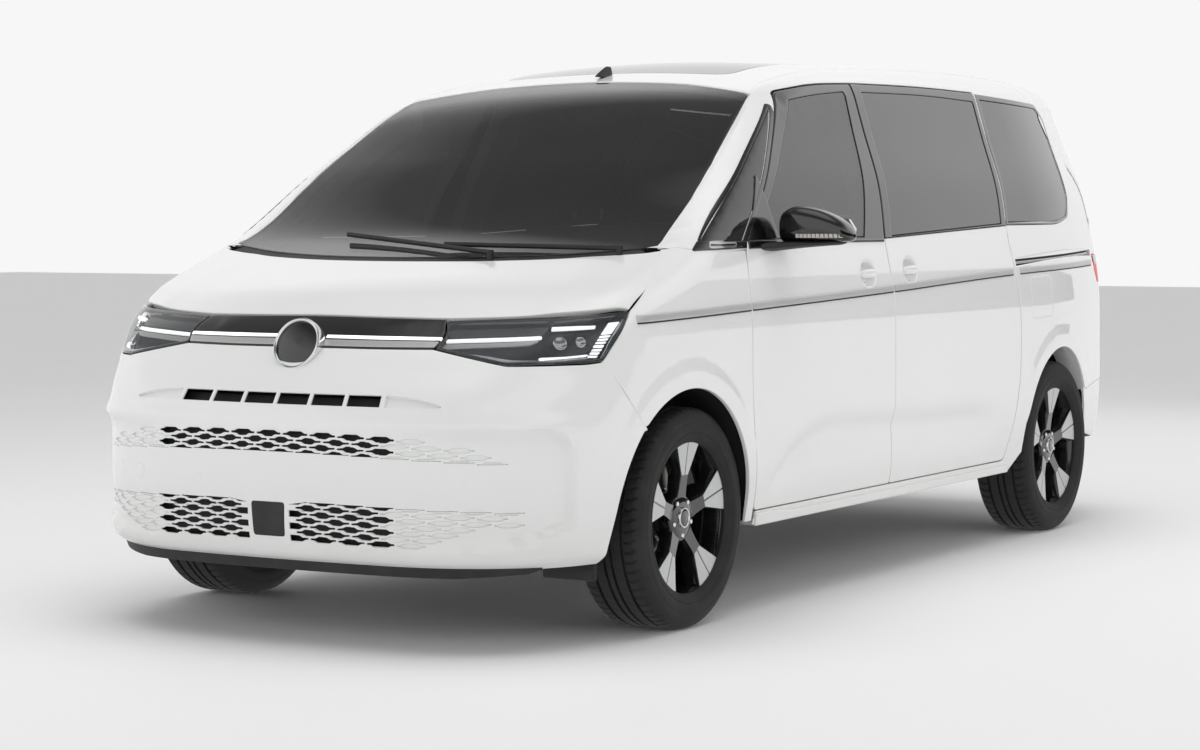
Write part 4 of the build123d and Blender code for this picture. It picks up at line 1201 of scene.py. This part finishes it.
face_y = np.array([970, 985, 1080, 1150, 1178, 1182, 1160, 990])
face_z = np.array([1222, 1212, 1210, 1214, 1226, 1244, 1276, 1302])
back = [np.stack([0 * face_y - 677.5 - d, (face_y - 1075) * k + 1075, (face_z - 1256) * k + 1256],
                 1) for d, k in ((-14, 0.99), (0, 1.0), (1.5, 0.98))]
pair("mirror_glass", loft(back), chrome, on=DOORS)
sail = [(-402, 1211, 3), (-545, 1428, 8), (-618, 1211, 3)]
pair("sail_panel", panel(side_view, sail, wall=5, roll=1.5, proud=2.4, cell=24), piano, on=DOORS)

# %% [markdown]
# ## Wheels and tyres
# A tyre is a profile turned round the axle. Its tread is relief: the radius drops where a rain
# groove runs round, and where the shoulder blocks are parted by cross grooves that repeat with the
# angle. The rim is turned too, and its five spokes are a section carried outward from the hub, wide
# and machined bright near the rim, narrow and gloss black near the hub.

# %% Turning helper
def turned_about_axle(profile, count=96, push=None):
    """Revolve (radius, width) points round the wheel's axle; width grows outward. Closed in both
    ways."""
    r, w = np.array(profile, float).T
    a = circle(count)[:, None]
    rr = r[None] + (push(a, w[None], r[None]) if push else 0 * a)
    points = np.stack([rr * np.sin(a), 0 * a + w[None], rr * np.cos(a)], -1).reshape(-1, 3)
    return facing_out((points, [grid(count, len(r), True, True)]))


SPOKES = 5


def on_spokes(shape):
    """Copies of a shape turned evenly round the axle."""
    p, f = shape
    turns = 2 * np.pi * np.arange(SPOKES) / SPOKES
    return merged(*[(np.stack([p[:, 0] * np.cos(t) + p[:, 2] * np.sin(t), p[:, 1],
                               p[:, 2] * np.cos(t) - p[:, 0] * np.sin(t)], 1), f) for t in turns])


# %% Tyre
half = [(240, 104), (248, 109), (256, 113), (264, 115), (266, 113.6), (268, 115.4), (284, 117.3),
        (300, 117.6), (302, 116.6), (304, 117.2), (318, 114.5), (330, 109.5), (337, 104), (341, 99),
        (344, 93), (345.6, 84), (346, 76), (346.3, 62), (346.4, 60), (338, 58.6), (338, 50.4),
        (346.4, 49), (346.8, 36), (346.9, 20), (347, 18), (338, 16.8), (338, 9.2), (347, 8)]
tyre_profile = half + [(347, 0)] + [(r, -w) for r, w in half[::-1]] + [(236, -100), (236, 100)]


def tread(a, w, r):
    """Cross grooves in the shoulders, slanted sipes in the ribs."""
    on = step(r, 326, 338)
    phase = (a * 66 / (2 * np.pi) + np.abs(w) * 0.004) % 1
    shoulder = np.where((phase < 0.17) & (np.abs(w) > 61), 5.0, 0)
    phase = (a * 66 / (2 * np.pi) - w * 0.012) % 1
    rib = np.where((phase < 0.1) & (np.abs(w) < 58), 1.6, 0)
    return -on * (shoulder + rib) * (r > 339)


moulded_tyre = moulded("tyre_rubber", (0.012, 0.012, 0.012), (0.024, 0.023, 0.022), 0.72, 500.0,
                       0.35)
tyre = turned_about_axle(tyre_profile, 396, tread)
print("tyre", len(tyre[0]), "points")

# %% Rim
lip = turned_about_axle([(246, 92), (247, 101), (250, 106), (255, 109), (259, 109.5), (260.5, 107),
                         (260, 98), (250, 90)], 144)
barrel = turned_about_axle([(247.5, 100), (244, 88), (238, 60), (226, 20), (222, -40), (230, -90),
                            (252, -104), (259, -108), (259, -112), (250, -112), (243, -104),
                            (236, -95), (236, 88), (243, 99)], 120)
hub = turned_about_axle([(30.4, 22), (30.4, 50), (12, 51), (12, 78), (36, 79), (60, 77), (72, 72),
                         (78, 60), (80, 20)], 72)


def spoke_section(r, half_width, face, depth, draft):
    """One section across a spoke at radius r: a flat face, small bevels and tapering flanks."""
    t = np.array([-half_width - draft, -half_width - 1.4, -half_width, half_width, half_width + 1.4,
                  half_width + draft])
    y = np.array([face - depth, face - 3.4, face - 0.8, face - 0.8, face - 3.4, face - depth])
    return np.stack([t, y, np.full(6, r)], 1)


r_line = np.linspace(56, 246, 20)
half_width = np.interp(r_line, [56, 80, 112, 134, 246], [27, 23, 21, 21, 78])
face = np.interp(r_line, [56, 134, 200, 246], [74, 86, 94, 100])
depth = np.interp(r_line, [56, 246], [40, 52])
draft = np.interp(r_line, [56, 134, 246], [3, 8, 12])
spoke = loft([spoke_section(*v) for v in zip(r_line, half_width, face, depth, draft)])
spokes = on_spokes(spoke)


def plate_section(r, a, b, face):
    """One section of a machined spoke face between widths a and b."""
    t = np.array([a, a + 0.8, b - 0.8, b])
    return np.concatenate([np.stack([t, face + np.array([-1.2, 0, 0, -1.2]), np.full(4, r)], 1),
                           np.stack([[b, a], np.full(2, face - 2.2), np.full(2, r)], 1)])


r_plate = np.linspace(134, 248, 12)
w_plate = np.interp(r_plate, [134, 248], [20, 78])
f_plate = np.interp(r_plate, [134, 200, 248], [86, 94, 100.4])
groove = np.where(r_plate > 240, 0.0, 2.4)
plates = on_spokes(merged(*[loft([plate_section(*v) for v in zip(r_plate, a, b, f_plate)])
                            for a, b in ((-w_plate, -groove), (groove, w_plate))]))
bolt = turned_about_axle([(0.5, 60), (0.5, 84), (7, 84), (9, 81), (9, 60)], 6)
bolts = on_spokes((bolt[0] + [0, -4, -56], bolt[1]))
cap = turned_about_axle([(0.3, 60), (0.3, 86), (20, 85.4), (26, 84), (27, 82.5), (27, 60)], 48)
cap_ring = turned_about_axle([(26.6, 70), (26.6, 84.2), (28, 86.4), (31, 86.6), (33, 84),
                              (33.5, 70)], 60)
disc = turned_about_axle([(90, -8), (90, 18), (160, 18), (162, 16), (162, -6), (160, -8)], 96)
print("rim", len(spokes[0]) + len(barrel[0]), "points")

# %% Four wheels
WHEEL_Y = 828.0
WHEEL_PIECES = [("tyre_skin", tyre, moulded_tyre, "tyre", "tyre"),
                ("rim_lip", lip, machined, "rim", "rim"),
                ("rim_barrel", barrel, piano, "rim", None),
                ("spoke_set", merged(spokes, hub), piano, "rim", None),
                ("spoke_faces", plates, machined, "rim", None),
                ("wheel_bolts", bolts, chrome, "rim", None),
                ("hub_cap", cap, piano, "rim", None),
                ("hub_cap_ring", cap_ring, chrome, "rim", None),
                ("brake_disc", disc, disc_steel, "chassis_steel", None)]
for end, s0 in (("front", 0.0), ("rear", -AXLES)):
    wheels = (f"wheel_{end}_left", f"wheel_{end}_right")
    for name, (points, faces), finish, slot_name, node in WHEEL_PIECES:
        pair(f"{name}_{end}", (points + [s0, WHEEL_Y, AXLE_Z], faces), finish, on=wheels,
             slot=slot_name, stands_for=[f"{node}_{end}_SIDE"] if node else ())

# %% [markdown]
# ## Seats
# A seat is foam under a sewn cover. Each cushion is one closed form: a rounded box whose faces
# crown where the foam pushes out and dip where the cover is sewn down, along three lengthwise seams
# and one across the middle. The backrest is the same form, leaning back, with side bolsters that
# stand forward; the headrest is a softer pad on two chrome posts.

# %% Cushions
cloth = Finish("woven_cloth", Sheen_Weight=0.3)
weave = (cloth.split(cloth.place)[1] * 2400.0).sin() * (cloth.split(cloth.place)[2] * 2400.0).sin()
cloth.set(Base_Color=cloth.colour((0.055, 0.056, 0.06), (0.085, 0.086, 0.09), cloth.noise(60.0)),
          Roughness=cloth.noise(8.0) * 0.1 + 0.85)
cloth = cloth.bump(weave, 0.3, 0.0003).material


LEAN = -16.0  # degrees, backwards
SEAT_BLOCKS = {"front": [(-1120, 520, (400, -400))],
               "rear": [(-2080, 460, (-500, 0, 500)), (-2960, 370, (-380, 0, 380))]}


def cushion(size, crown=10.0, seams=(), bolster=0.0, n=26, power=6.0):
    """A closed padded box round the origin: size (along, across, thick), its top face towards +z.
    The top rises by crown in the middle and by bolster at its sides, and sinks in narrow grooves
    at the seams."""
    lx, ly, lz = np.array(size) / 2
    u, v = np.meshgrid(np.linspace(-1, 1, n), np.linspace(-1, 1, n + 8), indexing="ij")
    top = lz + crown * (1 - u**2) * (1 - v**4) + bolster * step(np.abs(v), 0.55, 0.82) * (1 - u**6)
    for at in seams:
        top = top - 6.0 * np.exp(-((v - at) * ly / 7.0)**2) - 6.0 * np.exp(-((u
                - at * 1.4) * lx / 7.0)**2) * (abs(at) < 0.3)
    edge = np.maximum(np.abs(u), np.abs(v))
    fall = (1 - edge**power)**(1 / 3.0)
    x = u * lx * (1 - 0.04 * edge**12)
    y = v * ly * (1 - 0.04 * edge**12)
    upper = np.stack([x, y, top * fall - lz * 0.15 * (1 - fall)], -1)
    lower = np.stack([x, y, -lz * fall - lz * 0.15 * (1 - fall)], -1)
    rows, cols = u.shape
    points = np.concatenate([upper.reshape(-1, 3), lower.reshape(-1, 3)])
    face = grid(rows, cols)
    i, j = np.arange(rows), np.arange(cols)
    rim = np.concatenate([j[:-1], (i[:-1] * cols + cols - 1), ((rows - 1) * cols + j[:0:-1]),
                          (i[:0:-1] * cols)])
    nxt = np.roll(rim, -1)
    base = rows * cols
    side = np.stack([rim, nxt, nxt + base, rim + base], 1)
    return facing_out((points, [face, face[:, ::-1] + base, side]))


def tilted(shape, angle, move):
    """A shape turned about the width axis, then moved."""
    p, f = shape
    a = np.radians(angle)
    turn = np.array([[np.cos(a), 0, np.sin(a)], [0, 1, 0], [-np.sin(a), 0, np.cos(a)]])
    return p @ turn.T + move, f


def post(y, s, z0, z1, radius=6.0):
    """A headrest post: a round bar leaning like the backrest."""
    t = circle(12)
    ring = np.stack([radius * np.cos(t), radius * np.sin(t), 0 * t], 1)
    tip = np.array([np.sin(np.radians(LEAN)) * (z1 - z0), 0, z1 - z0])
    return loft([ring + [s, y, z0], ring + [s, y, z0] + tip])


def seat(s, y, width):
    """Cushion, backrest and headrest shapes for one place."""
    base = tilted(cushion((500, width, 150), 14, (-0.42, 0.0, 0.42), 16), -3, [s + 5, y, 590])
    lean = np.radians(LEAN)

    def up(h, forward):
        """A place at a height up the backrest's line."""
        return np.array([s - 250 + np.sin(lean) * h + np.cos(lean) * forward, y,
                         650 + np.cos(lean) * h - np.sin(lean) * forward])
    back = cushion((640, width, 128), 10, (-0.42, 0.0, 0.42), 22)
    back = tilted(back, -90 + LEAN, up(330, -58))
    head = tilted(cushion((172, 252, 92), 8, (), 0, 18, 5.0), -90 + LEAN, up(790, -58))
    posts = [post(y + d, s - 250 + np.sin(lean) * 660 - 58, 650 + np.cos(lean) * 650, 650
                  + np.cos(lean) * 730) for d in (-60, 60)]
    return merged(base, back), head, merged(*posts)


for row, blocks in SEAT_BLOCKS.items():
    places = [seat(s, y, w) for s, w, ys in blocks for y in ys]
    pads = put(f"{row}_seat_pads", merged(*[p for p, _, _ in places]), cloth,
               stands_for=[f"{row}_seats"])
    rests = put(f"{row}_headrests", merged(*[p for _, p, _ in places]), cloth)
    put(f"{row}_headrest_posts", merged(*[p for _, _, p in places]), chrome)
    print(row, "seats", len(places))


def box_shape(s0, s1, y0, y1, z0, z1, soft=8.0):
    """A box with softened edges, for frames, ducts and plinths."""
    rows = []
    for k, inset in ((0, soft), (0.3, 0.3 * soft), (1, 0)):
        rows.append((z0 + soft * k, inset))
    rows = rows + [(z1 - (z - z0), inset) for z, inset in rows[::-1]]
    loops = []
    for z, inset in rows:
        loop = rounded([(s0 + inset, y0 + inset, soft), (s1 - inset, y0 + inset, soft),
                        (s1 - inset, y1 - inset, soft), (s0 + inset, y1 - inset, soft)], soft, 1e4)
        loops.append(np.column_stack([loop, np.full(len(loop), z)]))
    m = min(len(v) for v in loops)
    return loft([v[:m] for v in loops])


plinths = [box_shape(s - 190, s + 190, y - w / 2 + 60, y + w / 2 - 60, 360.5, 524)
           for blocks in SEAT_BLOCKS.values() for s, w, ys in blocks for y in ys]
put("seat_frames", merged(*plinths), dash_plastic)

# %% [markdown]
# ## Dashboard and steering wheel
# The dashboard is one rounded profile carried across the van, with a cowl over the instruments and
# a screen in the middle. The steering wheel is a ring of oval section with three spokes round a
# bare boss.

# %% Dashboard
profile = np.array([(-380, 702), (-245, 702), (-236, 760), (-238, 960), (-150, 1010), (128, 1024),
                    (148, 1078), (60, 1092), (-200, 1096), (-400, 1092), (-470, 1070), (-520, 1004),
                    (-508, 960), (-482, 900), (-468, 862), (-420, 780)], float)


def dash_section(y):
    """The dashboard's profile at one width, with the cowl and the screen swell added."""
    p = profile.copy()
    p[8:12, 1] += 34 * np.exp(-((y - 400) / 190)**4)
    p[10:13, 0] -= 26 * np.exp(-((y - 400) / 200)**4)
    p[12:15, 0] += 24 * (1 - np.exp(-((y - 400) / 150)**4)) * np.exp(-(y / 620)**8)
    return np.column_stack([p[:, 0], np.full(len(p), y), p[:, 1]])


put("dashboard_shell", loft([dash_section(y) for y in np.linspace(-758, 758, 60)]), dash_plastic,
    stands_for=["dashboard"])
screens = [box_shape(-545, -528, -140, 140, 985, 1130, 6),
           box_shape(-556, -541, 290, 510, 1030, 1112, 6)]
put("dash_screens", merged(*screens), piano)
vents = [box_shape(-531, -516, y - 62, y + 62, 940, 966, 4) for y in (-640, 0, 655)]
put("dash_vents", merged(*vents), satin)
axis = np.array([200, 0, -80]) / np.hypot(200, 80)
across, upward = np.array([0, 1.0, 0]), np.cross([200, 0, -80], [0, 1.0, 0]) / np.hypot(200, 80)
centre = np.array([-640, 400, 1010.0])
t, c = circle(96)[:, None], circle(16)[None]
RIM_RADIUS, RIM_THICK = 178, 13.5
ring_r = RIM_RADIUS + RIM_THICK * np.cos(c)
ring_way = np.cos(t)[..., None] * across + np.sin(t)[..., None] * upward
ring_rise = RIM_THICK * np.sin(c) * (1 + 0.1 * (np.sin(t) < -0.9))
ring = centre + ring_way * ring_r[..., None] + axis * ring_rise[..., None]
boss_rows = []
for depth, size in ((18, 44), (14, 52), (-8, 58), (-16, 54), (-20, 40)):
    a = circle(48)
    squarish = size * (1 + 0.10 * np.cos(2 * a))
    outward = np.cos(a)[:, None] * across * 1.25 + np.sin(a)[:, None] * upward
    boss_rows.append(centre + axis * depth + squarish[:, None] * outward)
spokes_in = []
for way in (across, -across, -upward):
    side = np.cross(axis, way)
    section = np.array([(-1, -1), (1, -1), (1, 1), (-1, 1)], float)
    spokes_in.append(loft([centre + way * r + side * section[:, :1] * w + axis * section[:, 1:] * 7
                                      for r, w in ((40, 26), (90, 17), (140, 15), (172, 22))]))
put("steering_wheel_rim", facing_out((ring.reshape(-1, 3), [grid(96, 16, True, True)])),
    dash_plastic, on="driver_wheel", stands_for=["steering_wheel"])
put("steering_wheel_boss", merged(loft(boss_rows), *spokes_in), dash_plastic, on="driver_wheel")
outward = np.cos(a)[:, None] * across + np.sin(a)[:, None] * upward
column = [centre + axis * (22 + 200 * k) + 34 * (1 + 0.4 * k) * outward
          for k in np.linspace(0, 1, 6)]
put("steering_column", loft(column), dash_plastic)

# %% [markdown]
# ## Arch liners and antenna
# Behind each wheel arch a felt-covered shell closes the view into the body. It follows the arch's
# own ellipse, a little larger, from just under the skin inwards. The rear ones end in a turned-in
# flange; the front ones step back where the steered tyre swings. The antenna is a fin: long
# sections that shrink and lean back towards a rounded tip.

# %% Arch liners and fin


LINER_ROOM = 14.0  # how much larger than the arch opening a liner is


def arch_liner(centre, first, last, inner):
    """A shell round the wheel: a bent section carried along the arch and closed at both ends. inner
    lists the section's (width, extra radius) points inwards from the skin."""
    t = np.radians(np.linspace(first, last, 29))
    c, s = np.cos(t), np.sin(t)
    edge = np.stack([centre + (ARCH_LENGTH + LINER_ROOM) * c, AXLE_Z
                     + (ARCH_HEIGHT + LINER_ROOM) * s], 1)
    under_skin = land(side_view, edge)[0][:, 1] - 14
    section = []
    for skin, radius in ((0, LINER_ROOM), (1, LINER_ROOM + 5)):
        line = [(0 * t + y - 5 * skin * (y < 700), radius + r) for y, r in inner]
        line = [(under_skin, radius)] + line
        section += line if skin == 0 else line[::-1]
    loops = np.stack([np.stack([centre + (ARCH_LENGTH + r) * c, y, AXLE_Z + (ARCH_HEIGHT + r) * s],
                               1) for y, r in section], 1)
    n = len(section)
    k = np.arange(n // 2 - 1)
    cap = np.stack([k, k + 1, n - 2 - k, n - 1 - k], 1)
    faces = [grid(len(t), n, round_cols=True)[:, ::-1], cap, (cap + (len(t) - 1) * n)[:, ::-1]]
    return facing_out((loops.reshape(-1, 3), faces))


# the front liners step back, because the steered tyre swings in there
for end, centre, first, last, inner in (
        ("front", FRONT_ARCH, -6, 186, [(800, 0), (745, 48), (588, 48)]),
        ("rear", REAR_ARCH, -4, 184, [(760, 0), (618, 0), (588, -24.5), (588, -70)])):
    pair(f"{end}_arch_liner", arch_liner(centre, first, last, inner), liner)

FIN_S = -1055.0
fin_base = land(plan_view, np.array([[FIN_S, 0.0]]))[0][0, 2]
a = circle(24)
fin_rows = []
for k in np.linspace(0, 1, 10):
    long, wide = 59 * (1 - 0.72 * k**1.3), 12.5 * (1 - 0.7 * k**0.8)
    if k == 1:
        long, wide = long * 0.8, wide * 0.55
    s, z = FIN_S - 34 * k + long * np.cos(a), fin_base + 0.5 + 40 * k + 0 * a
    fin_rows.append(np.stack([s, wide * np.sin(a), z], 1))
put("antenna_fin", loft(fin_rows), grained, stands_for=["antenna"])
pair("air_deflector", box_shape(418, 434, 660, 846, 192, 250, 6.0), grained)

# %% [markdown]
# ## The back of the van
# The tailgate carries the rear glass, a recess for the plate with its grip above, and the inner
# halves of the lamps. The lamps wrap round the corner: a red lens with a dark field over its upper
# part. Below sits the bumper, white down to a black valance with two flat reflectors.

# %% Tailgate, rear glass and lamps
GATE_HALF = [(0, 614), (810, 614, 30), (834, 900), (828, 1250), (776, 1560), (726, 1730),
             (700, 1790, 10), (694, 1828, 30), (0, 1846)]
gate_outline = both_sides(GATE_HALF)[1:]
GLASS_HALF = [(0, 1292), (768, 1292, 30), (732, 1530), (680, 1708, 40), (0, 1720)]
glass_outline = both_sides(GLASS_HALF)[1:]
INSET = [(562, 1008, 8), (824, 1008, 3), (822, 1120, 3), (562, 1120, 8)]


def gate_relief(q):
    """The plate recess, a step under the glass and a soft crease below the lamps."""
    y, z = q[:, 1], q[:, 2]
    edge = np.minimum(275 - np.abs(y), np.minimum(z - 750, 925 - z))
    crease = 4 * np.exp(-((z - 985) / 22)**2) * (1 - step(np.abs(y), 520, 760))
    shelf = 5 * np.exp(-((z - 1268) / 14)**2)
    return -17 * step(edge, 0, 16) + crease + shelf


gate = panel(tail_view, gate_outline, [glass_outline, INSET, [(-a, b, *c) for a, b, *c in INSET]],
             wall=34, roll=3, cell=24, relief=gate_relief, dense=[(0, 835, 330, 120, 13)])
put("tailgate_skin", gate, white, on="rear_gate", stands_for=["tailgate"])
put("rear_pane", panel(tail_view, glass_outline, wall=6, roll=1.2, proud=-1.0, cell=40, grow=-2),
    dark_glass, on="rear_gate", stands_for=["tailgate_glass"])
lamp_in = panel(tail_view, grown(INSET, -1.6), wall=16, roll=2.5, proud=1.5, cell=20)
pair("gate_lamp", lamp_in, tail_red, on="rear_gate", whole="tailgate_lamps")
LAMP_SIDE = [(-3690, 1124, 14), (-3708, 1060, 30), (-3746, 1005, 14)]
corner = unrolled(side_view, LAMP_SIDE, behind=True)


def rear_corner_view(p):
    """(UNROLLED x angle, height) round the tail line; 0 is straight back, left is positive."""
    a = p[:, 0] / UNROLLED
    start = np.stack([0 * a + TAIL_LINE, 0 * a, p[:, 1]], 1)
    return start, np.stack([-np.cos(a), np.sin(a), 0 * a], 1)


inner_edge = unrolled(tail_view, [(832, 1005, 4), (830, 1124, 4)], behind=True)
lamp_shape = [inner_edge[1], *corner, inner_edge[0]]
pair("corner_lamp", panel(rear_corner_view, lamp_shape, wall=24, roll=3, proud=2.0, cell=16,
                          radius=8), tail_red, whole="tail_lamps")
pair("corner_lamp_dark",
     panel(rear_corner_view, [inner_edge[1], (corner[0][0] - 2, 1120, 6),
                              (corner[0][0] - 12, 1086, 6), (inner_edge[1][0], 1078, 3)], wall=4,
           roll=1.5, proud=4.2, cell=14), piano)
blank_plate = panel(tail_view, [(-260, 776, 6), (260, 776, 6), (260, 886, 6), (-260, 886, 6)],
                    wall=4, roll=1, proud=-12, cell=40)
white_plate = Finish("blank_plate")
white_plate.set(Base_Color=white_plate.colour((0.72, 0.72, 0.7), (0.76, 0.76, 0.74),
                                              white_plate.noise(30.0)),
                Roughness=white_plate.noise(9.0) * 0.1 + 0.4)
put("blank_plate", blank_plate, white_plate.material, on="rear_gate")
grip = panel(tail_view, [(-240, 918, 8), (240, 918, 8), (228, 946, 8), (-228, 946, 8)], wall=10,
             roll=3, proud=8, cell=16)
put("gate_grip", grip, satin, on="rear_gate")
rear_wiper = panel(tail_view, [(-60, 1296, 10), (-40, 1284, 10), (330, 1330, 4), (336, 1342, 4),
                               (-40, 1318, 10)], wall=1, roll=1.5, proud=14, cell=16)
put("rear_wiper", rear_wiper, grained, on="rear_gate")

# %% Rear bumper
arch_side = arch_line(REAR_ARCH, 146, 176, 5)
side_pts = unrolled(side_view, arch_side, behind=True)
top_pts = unrolled(side_view, [(-3948, 604), (-3448, 558)], behind=True)
half = [(0, 290), (900, 290)] + side_pts[::-1] + [(*top_pts[1], 5), top_pts[0]] + [(0, 608)]
bumper_loop = both_sides(half)


def rear_relief(q):
    """A ledge along the rear bumper's top and a tuck under its foot."""
    z, a = q[:, 2], np.abs(q[:, 1])
    return 9 * np.exp(-((z - 560) / 26)**2) * (1 - step(a, 700, 900)) - 10 * (1 - step(z, 300, 360))


put("rear_bumper_skin", panel(rear_corner_view, bumper_loop, wall=9, roll=2.5, cell=26,
                              relief=rear_relief), white, stands_for=["rear_bumper"])
valance = panel(rear_corner_view, [(-800, 300, 30), (800, 300, 30), (780, 404, 30),
                                   (-780, 404, 30)], wall=4, roll=2, proud=4, cell=30,
                relief=rear_relief)
put("rear_valance", valance, grained)
marks = [panel(rear_corner_view, [(a - 70, 418, 6), (a + 70, 418, 6), (a + 66, 440, 6),
                                  (a - 66, 440, 6)], wall=6, roll=2, proud=5, cell=16,
               relief=rear_relief) for a in (-700, 700)]
# The reflectors take the tail-lamp finish, so they glow faintly although they are not lamps:
# painted light.
put("rear_reflectors", merged(*marks), tail_red)

# %% [markdown]
# ## Finishes for the solids that stay
# The floor, axles, engine block and inner panels are shown as the CAD made them, each with a finish
# that suits what it is.

# %% CAD finishes
by_slot = {"paint": white, "dark_glass": dark_glass, "clear_glass": clear_glass,
           "black_plastic": grained, "lamp_clear": lens, "lamp_red": tail_red, "chrome": chrome,
           "aluminium": satin, "chassis_steel": castings, "trim_plastic": dash_plastic,
           "seat_fabric": cloth, "tyre": moulded_tyre, "rim": machined}
slot_of = {row["node"]: row["material_slot"] for row in frame["record"]["subparts"]}
for name, node in frame["nodes"].items():
    node.data.materials.clear()
    node.data.materials.append(by_slot[slot_of[name]])
print("CAD nodes finished", len(frame["nodes"]))

# %% [markdown]
# ## Studio
# A pale floor, a soft light from above and one from the camera's left show white paint best: it is
# the gentle change from light to shade, not a hard shadow, that tells the eye how the panels turn.

# %% Floor, lights and camera
def area_light(name, at, towards, size, power):
    """A soft rectangular lamp aimed at a point, not seen in mirrors."""
    lamp = bpy.data.lights.new(name, "AREA")
    lamp.shape, lamp.size, lamp.size_y, lamp.energy = "RECTANGLE", size[0], size[1], power
    holder = bpy.data.objects.new(name, lamp)
    holder.location = at
    holder.visible_glossy = False
    holder.rotation_euler = (Vector(towards) - Vector(at)).to_track_quat("-Z", "Y").to_euler()
    bpy.context.scene.collection.objects.link(holder)


area_light("overhead", (0.5, 0.5, 6.5), (0, 0, 0), (9, 6), 215)
area_light("front_fill", (7.5, -3.5, 3.2), (1.5, 0, 0.7), (5, 3), 30)
area_light("side_fill", (1.0, 8.0, 3.0), (0, 0, 0.7), (8, 3), 45)
area_light("back_fill", (-8, 0, 4.0), (-1, 0, 0.9), (6, 3), 40)
world = bpy.data.worlds.new("studio")
bpy.context.scene.world = world
world.use_nodes = True
tree = world.node_tree
background = next(n for n in tree.nodes if n.type == "BACKGROUND")
direction = tree.nodes.new("ShaderNodeTexCoord")
split = tree.nodes.new("ShaderNodeSeparateXYZ")
rise = tree.nodes.new("ShaderNodeMapRange")
rise.inputs[1].default_value, rise.inputs[2].default_value = -0.5, 1.0
shade = tree.nodes.new("ShaderNodeValToRGB")
SKY = [(-0.5, 0.5), (-0.04, 0.95), (0.50, 0.95), (0.70, 0.20), (0.86, 0.20), (0.97, 1.0)]
stops = shade.color_ramp.elements
while len(stops) < len(SKY):
    stops.new(0.5)
for stop, (height, bright) in zip(stops, SKY):
    stop.position, stop.color = (height + 0.5) / 1.5, (bright, bright, bright, 1)
for out, into in ((direction.outputs["Object"], split.inputs[0]),
                  (split.outputs[2], rise.inputs[0]), (rise.outputs[0], shade.inputs[0]),
                  (shade.outputs[0], background.inputs[0])):
    tree.links.new(out, into)
background.inputs[1].default_value = 0.98



def stage_card(name, corners, dark, pale, scale, shine):
    """A flat sheet of the studio with a faintly cloudy finish, kept out of the part."""
    mesh = bpy.data.meshes.new(name)
    mesh.from_pydata(corners, [], [(0, 1, 2, 3)])
    card = bpy.data.objects.new(name, mesh)
    bpy.context.scene.collection.objects.link(card)
    finish = Finish(name + "_finish", Specular_IOR_Level=shine)
    finish.set(Base_Color=finish.colour(dark, pale, finish.noise(scale)))
    mesh.materials.append(finish.material)
    return card, finish


floor, floor_finish = stage_card("studio_floor", [(-40, -40, 0), (40, -40, 0), (40, 40, 0),
                                                  (-40, 40, 0)], (0.93, 0.93, 0.93),
                                 (0.95, 0.95, 0.95), 0.6, 0.2)
floor.visible_glossy = False
floor_finish.set(Roughness=floor_finish.noise(3.0) * 0.1 + 0.6)
flag, _ = stage_card("studio_flag", [(-45, 9, 0.9), (6, 9, 0.9), (6, 9, 3.5), (-45, 9, 3.5)],
                     (0.02, 0.02, 0.02), (0.04, 0.04, 0.038), 0.3, 0.0)
flag.visible_camera = flag.visible_diffuse = flag.visible_shadow = flag.visible_transmission = False

camera = bpy.data.cameras.new("camera")
camera.lens, camera.sensor_width = 81.74, 36.0
camera.shift_x, camera.shift_y = -0.0402, -0.0182
camera.clip_end = 200
eye = bpy.data.objects.new("camera", camera)
YAW, PITCH = np.radians([-150.4355, -2.8378])
look = Vector((np.cos(PITCH) * np.cos(YAW), np.cos(PITCH) * np.sin(YAW), np.sin(PITCH)))
eye.location = (8.970, 4.988, 1.280)
eye.rotation_euler = look.to_track_quat("-Z", "Y").to_euler()
bpy.context.scene.collection.objects.link(eye)
bpy.context.scene.camera = eye
bpy.context.scene.view_settings.view_transform = "Standard"
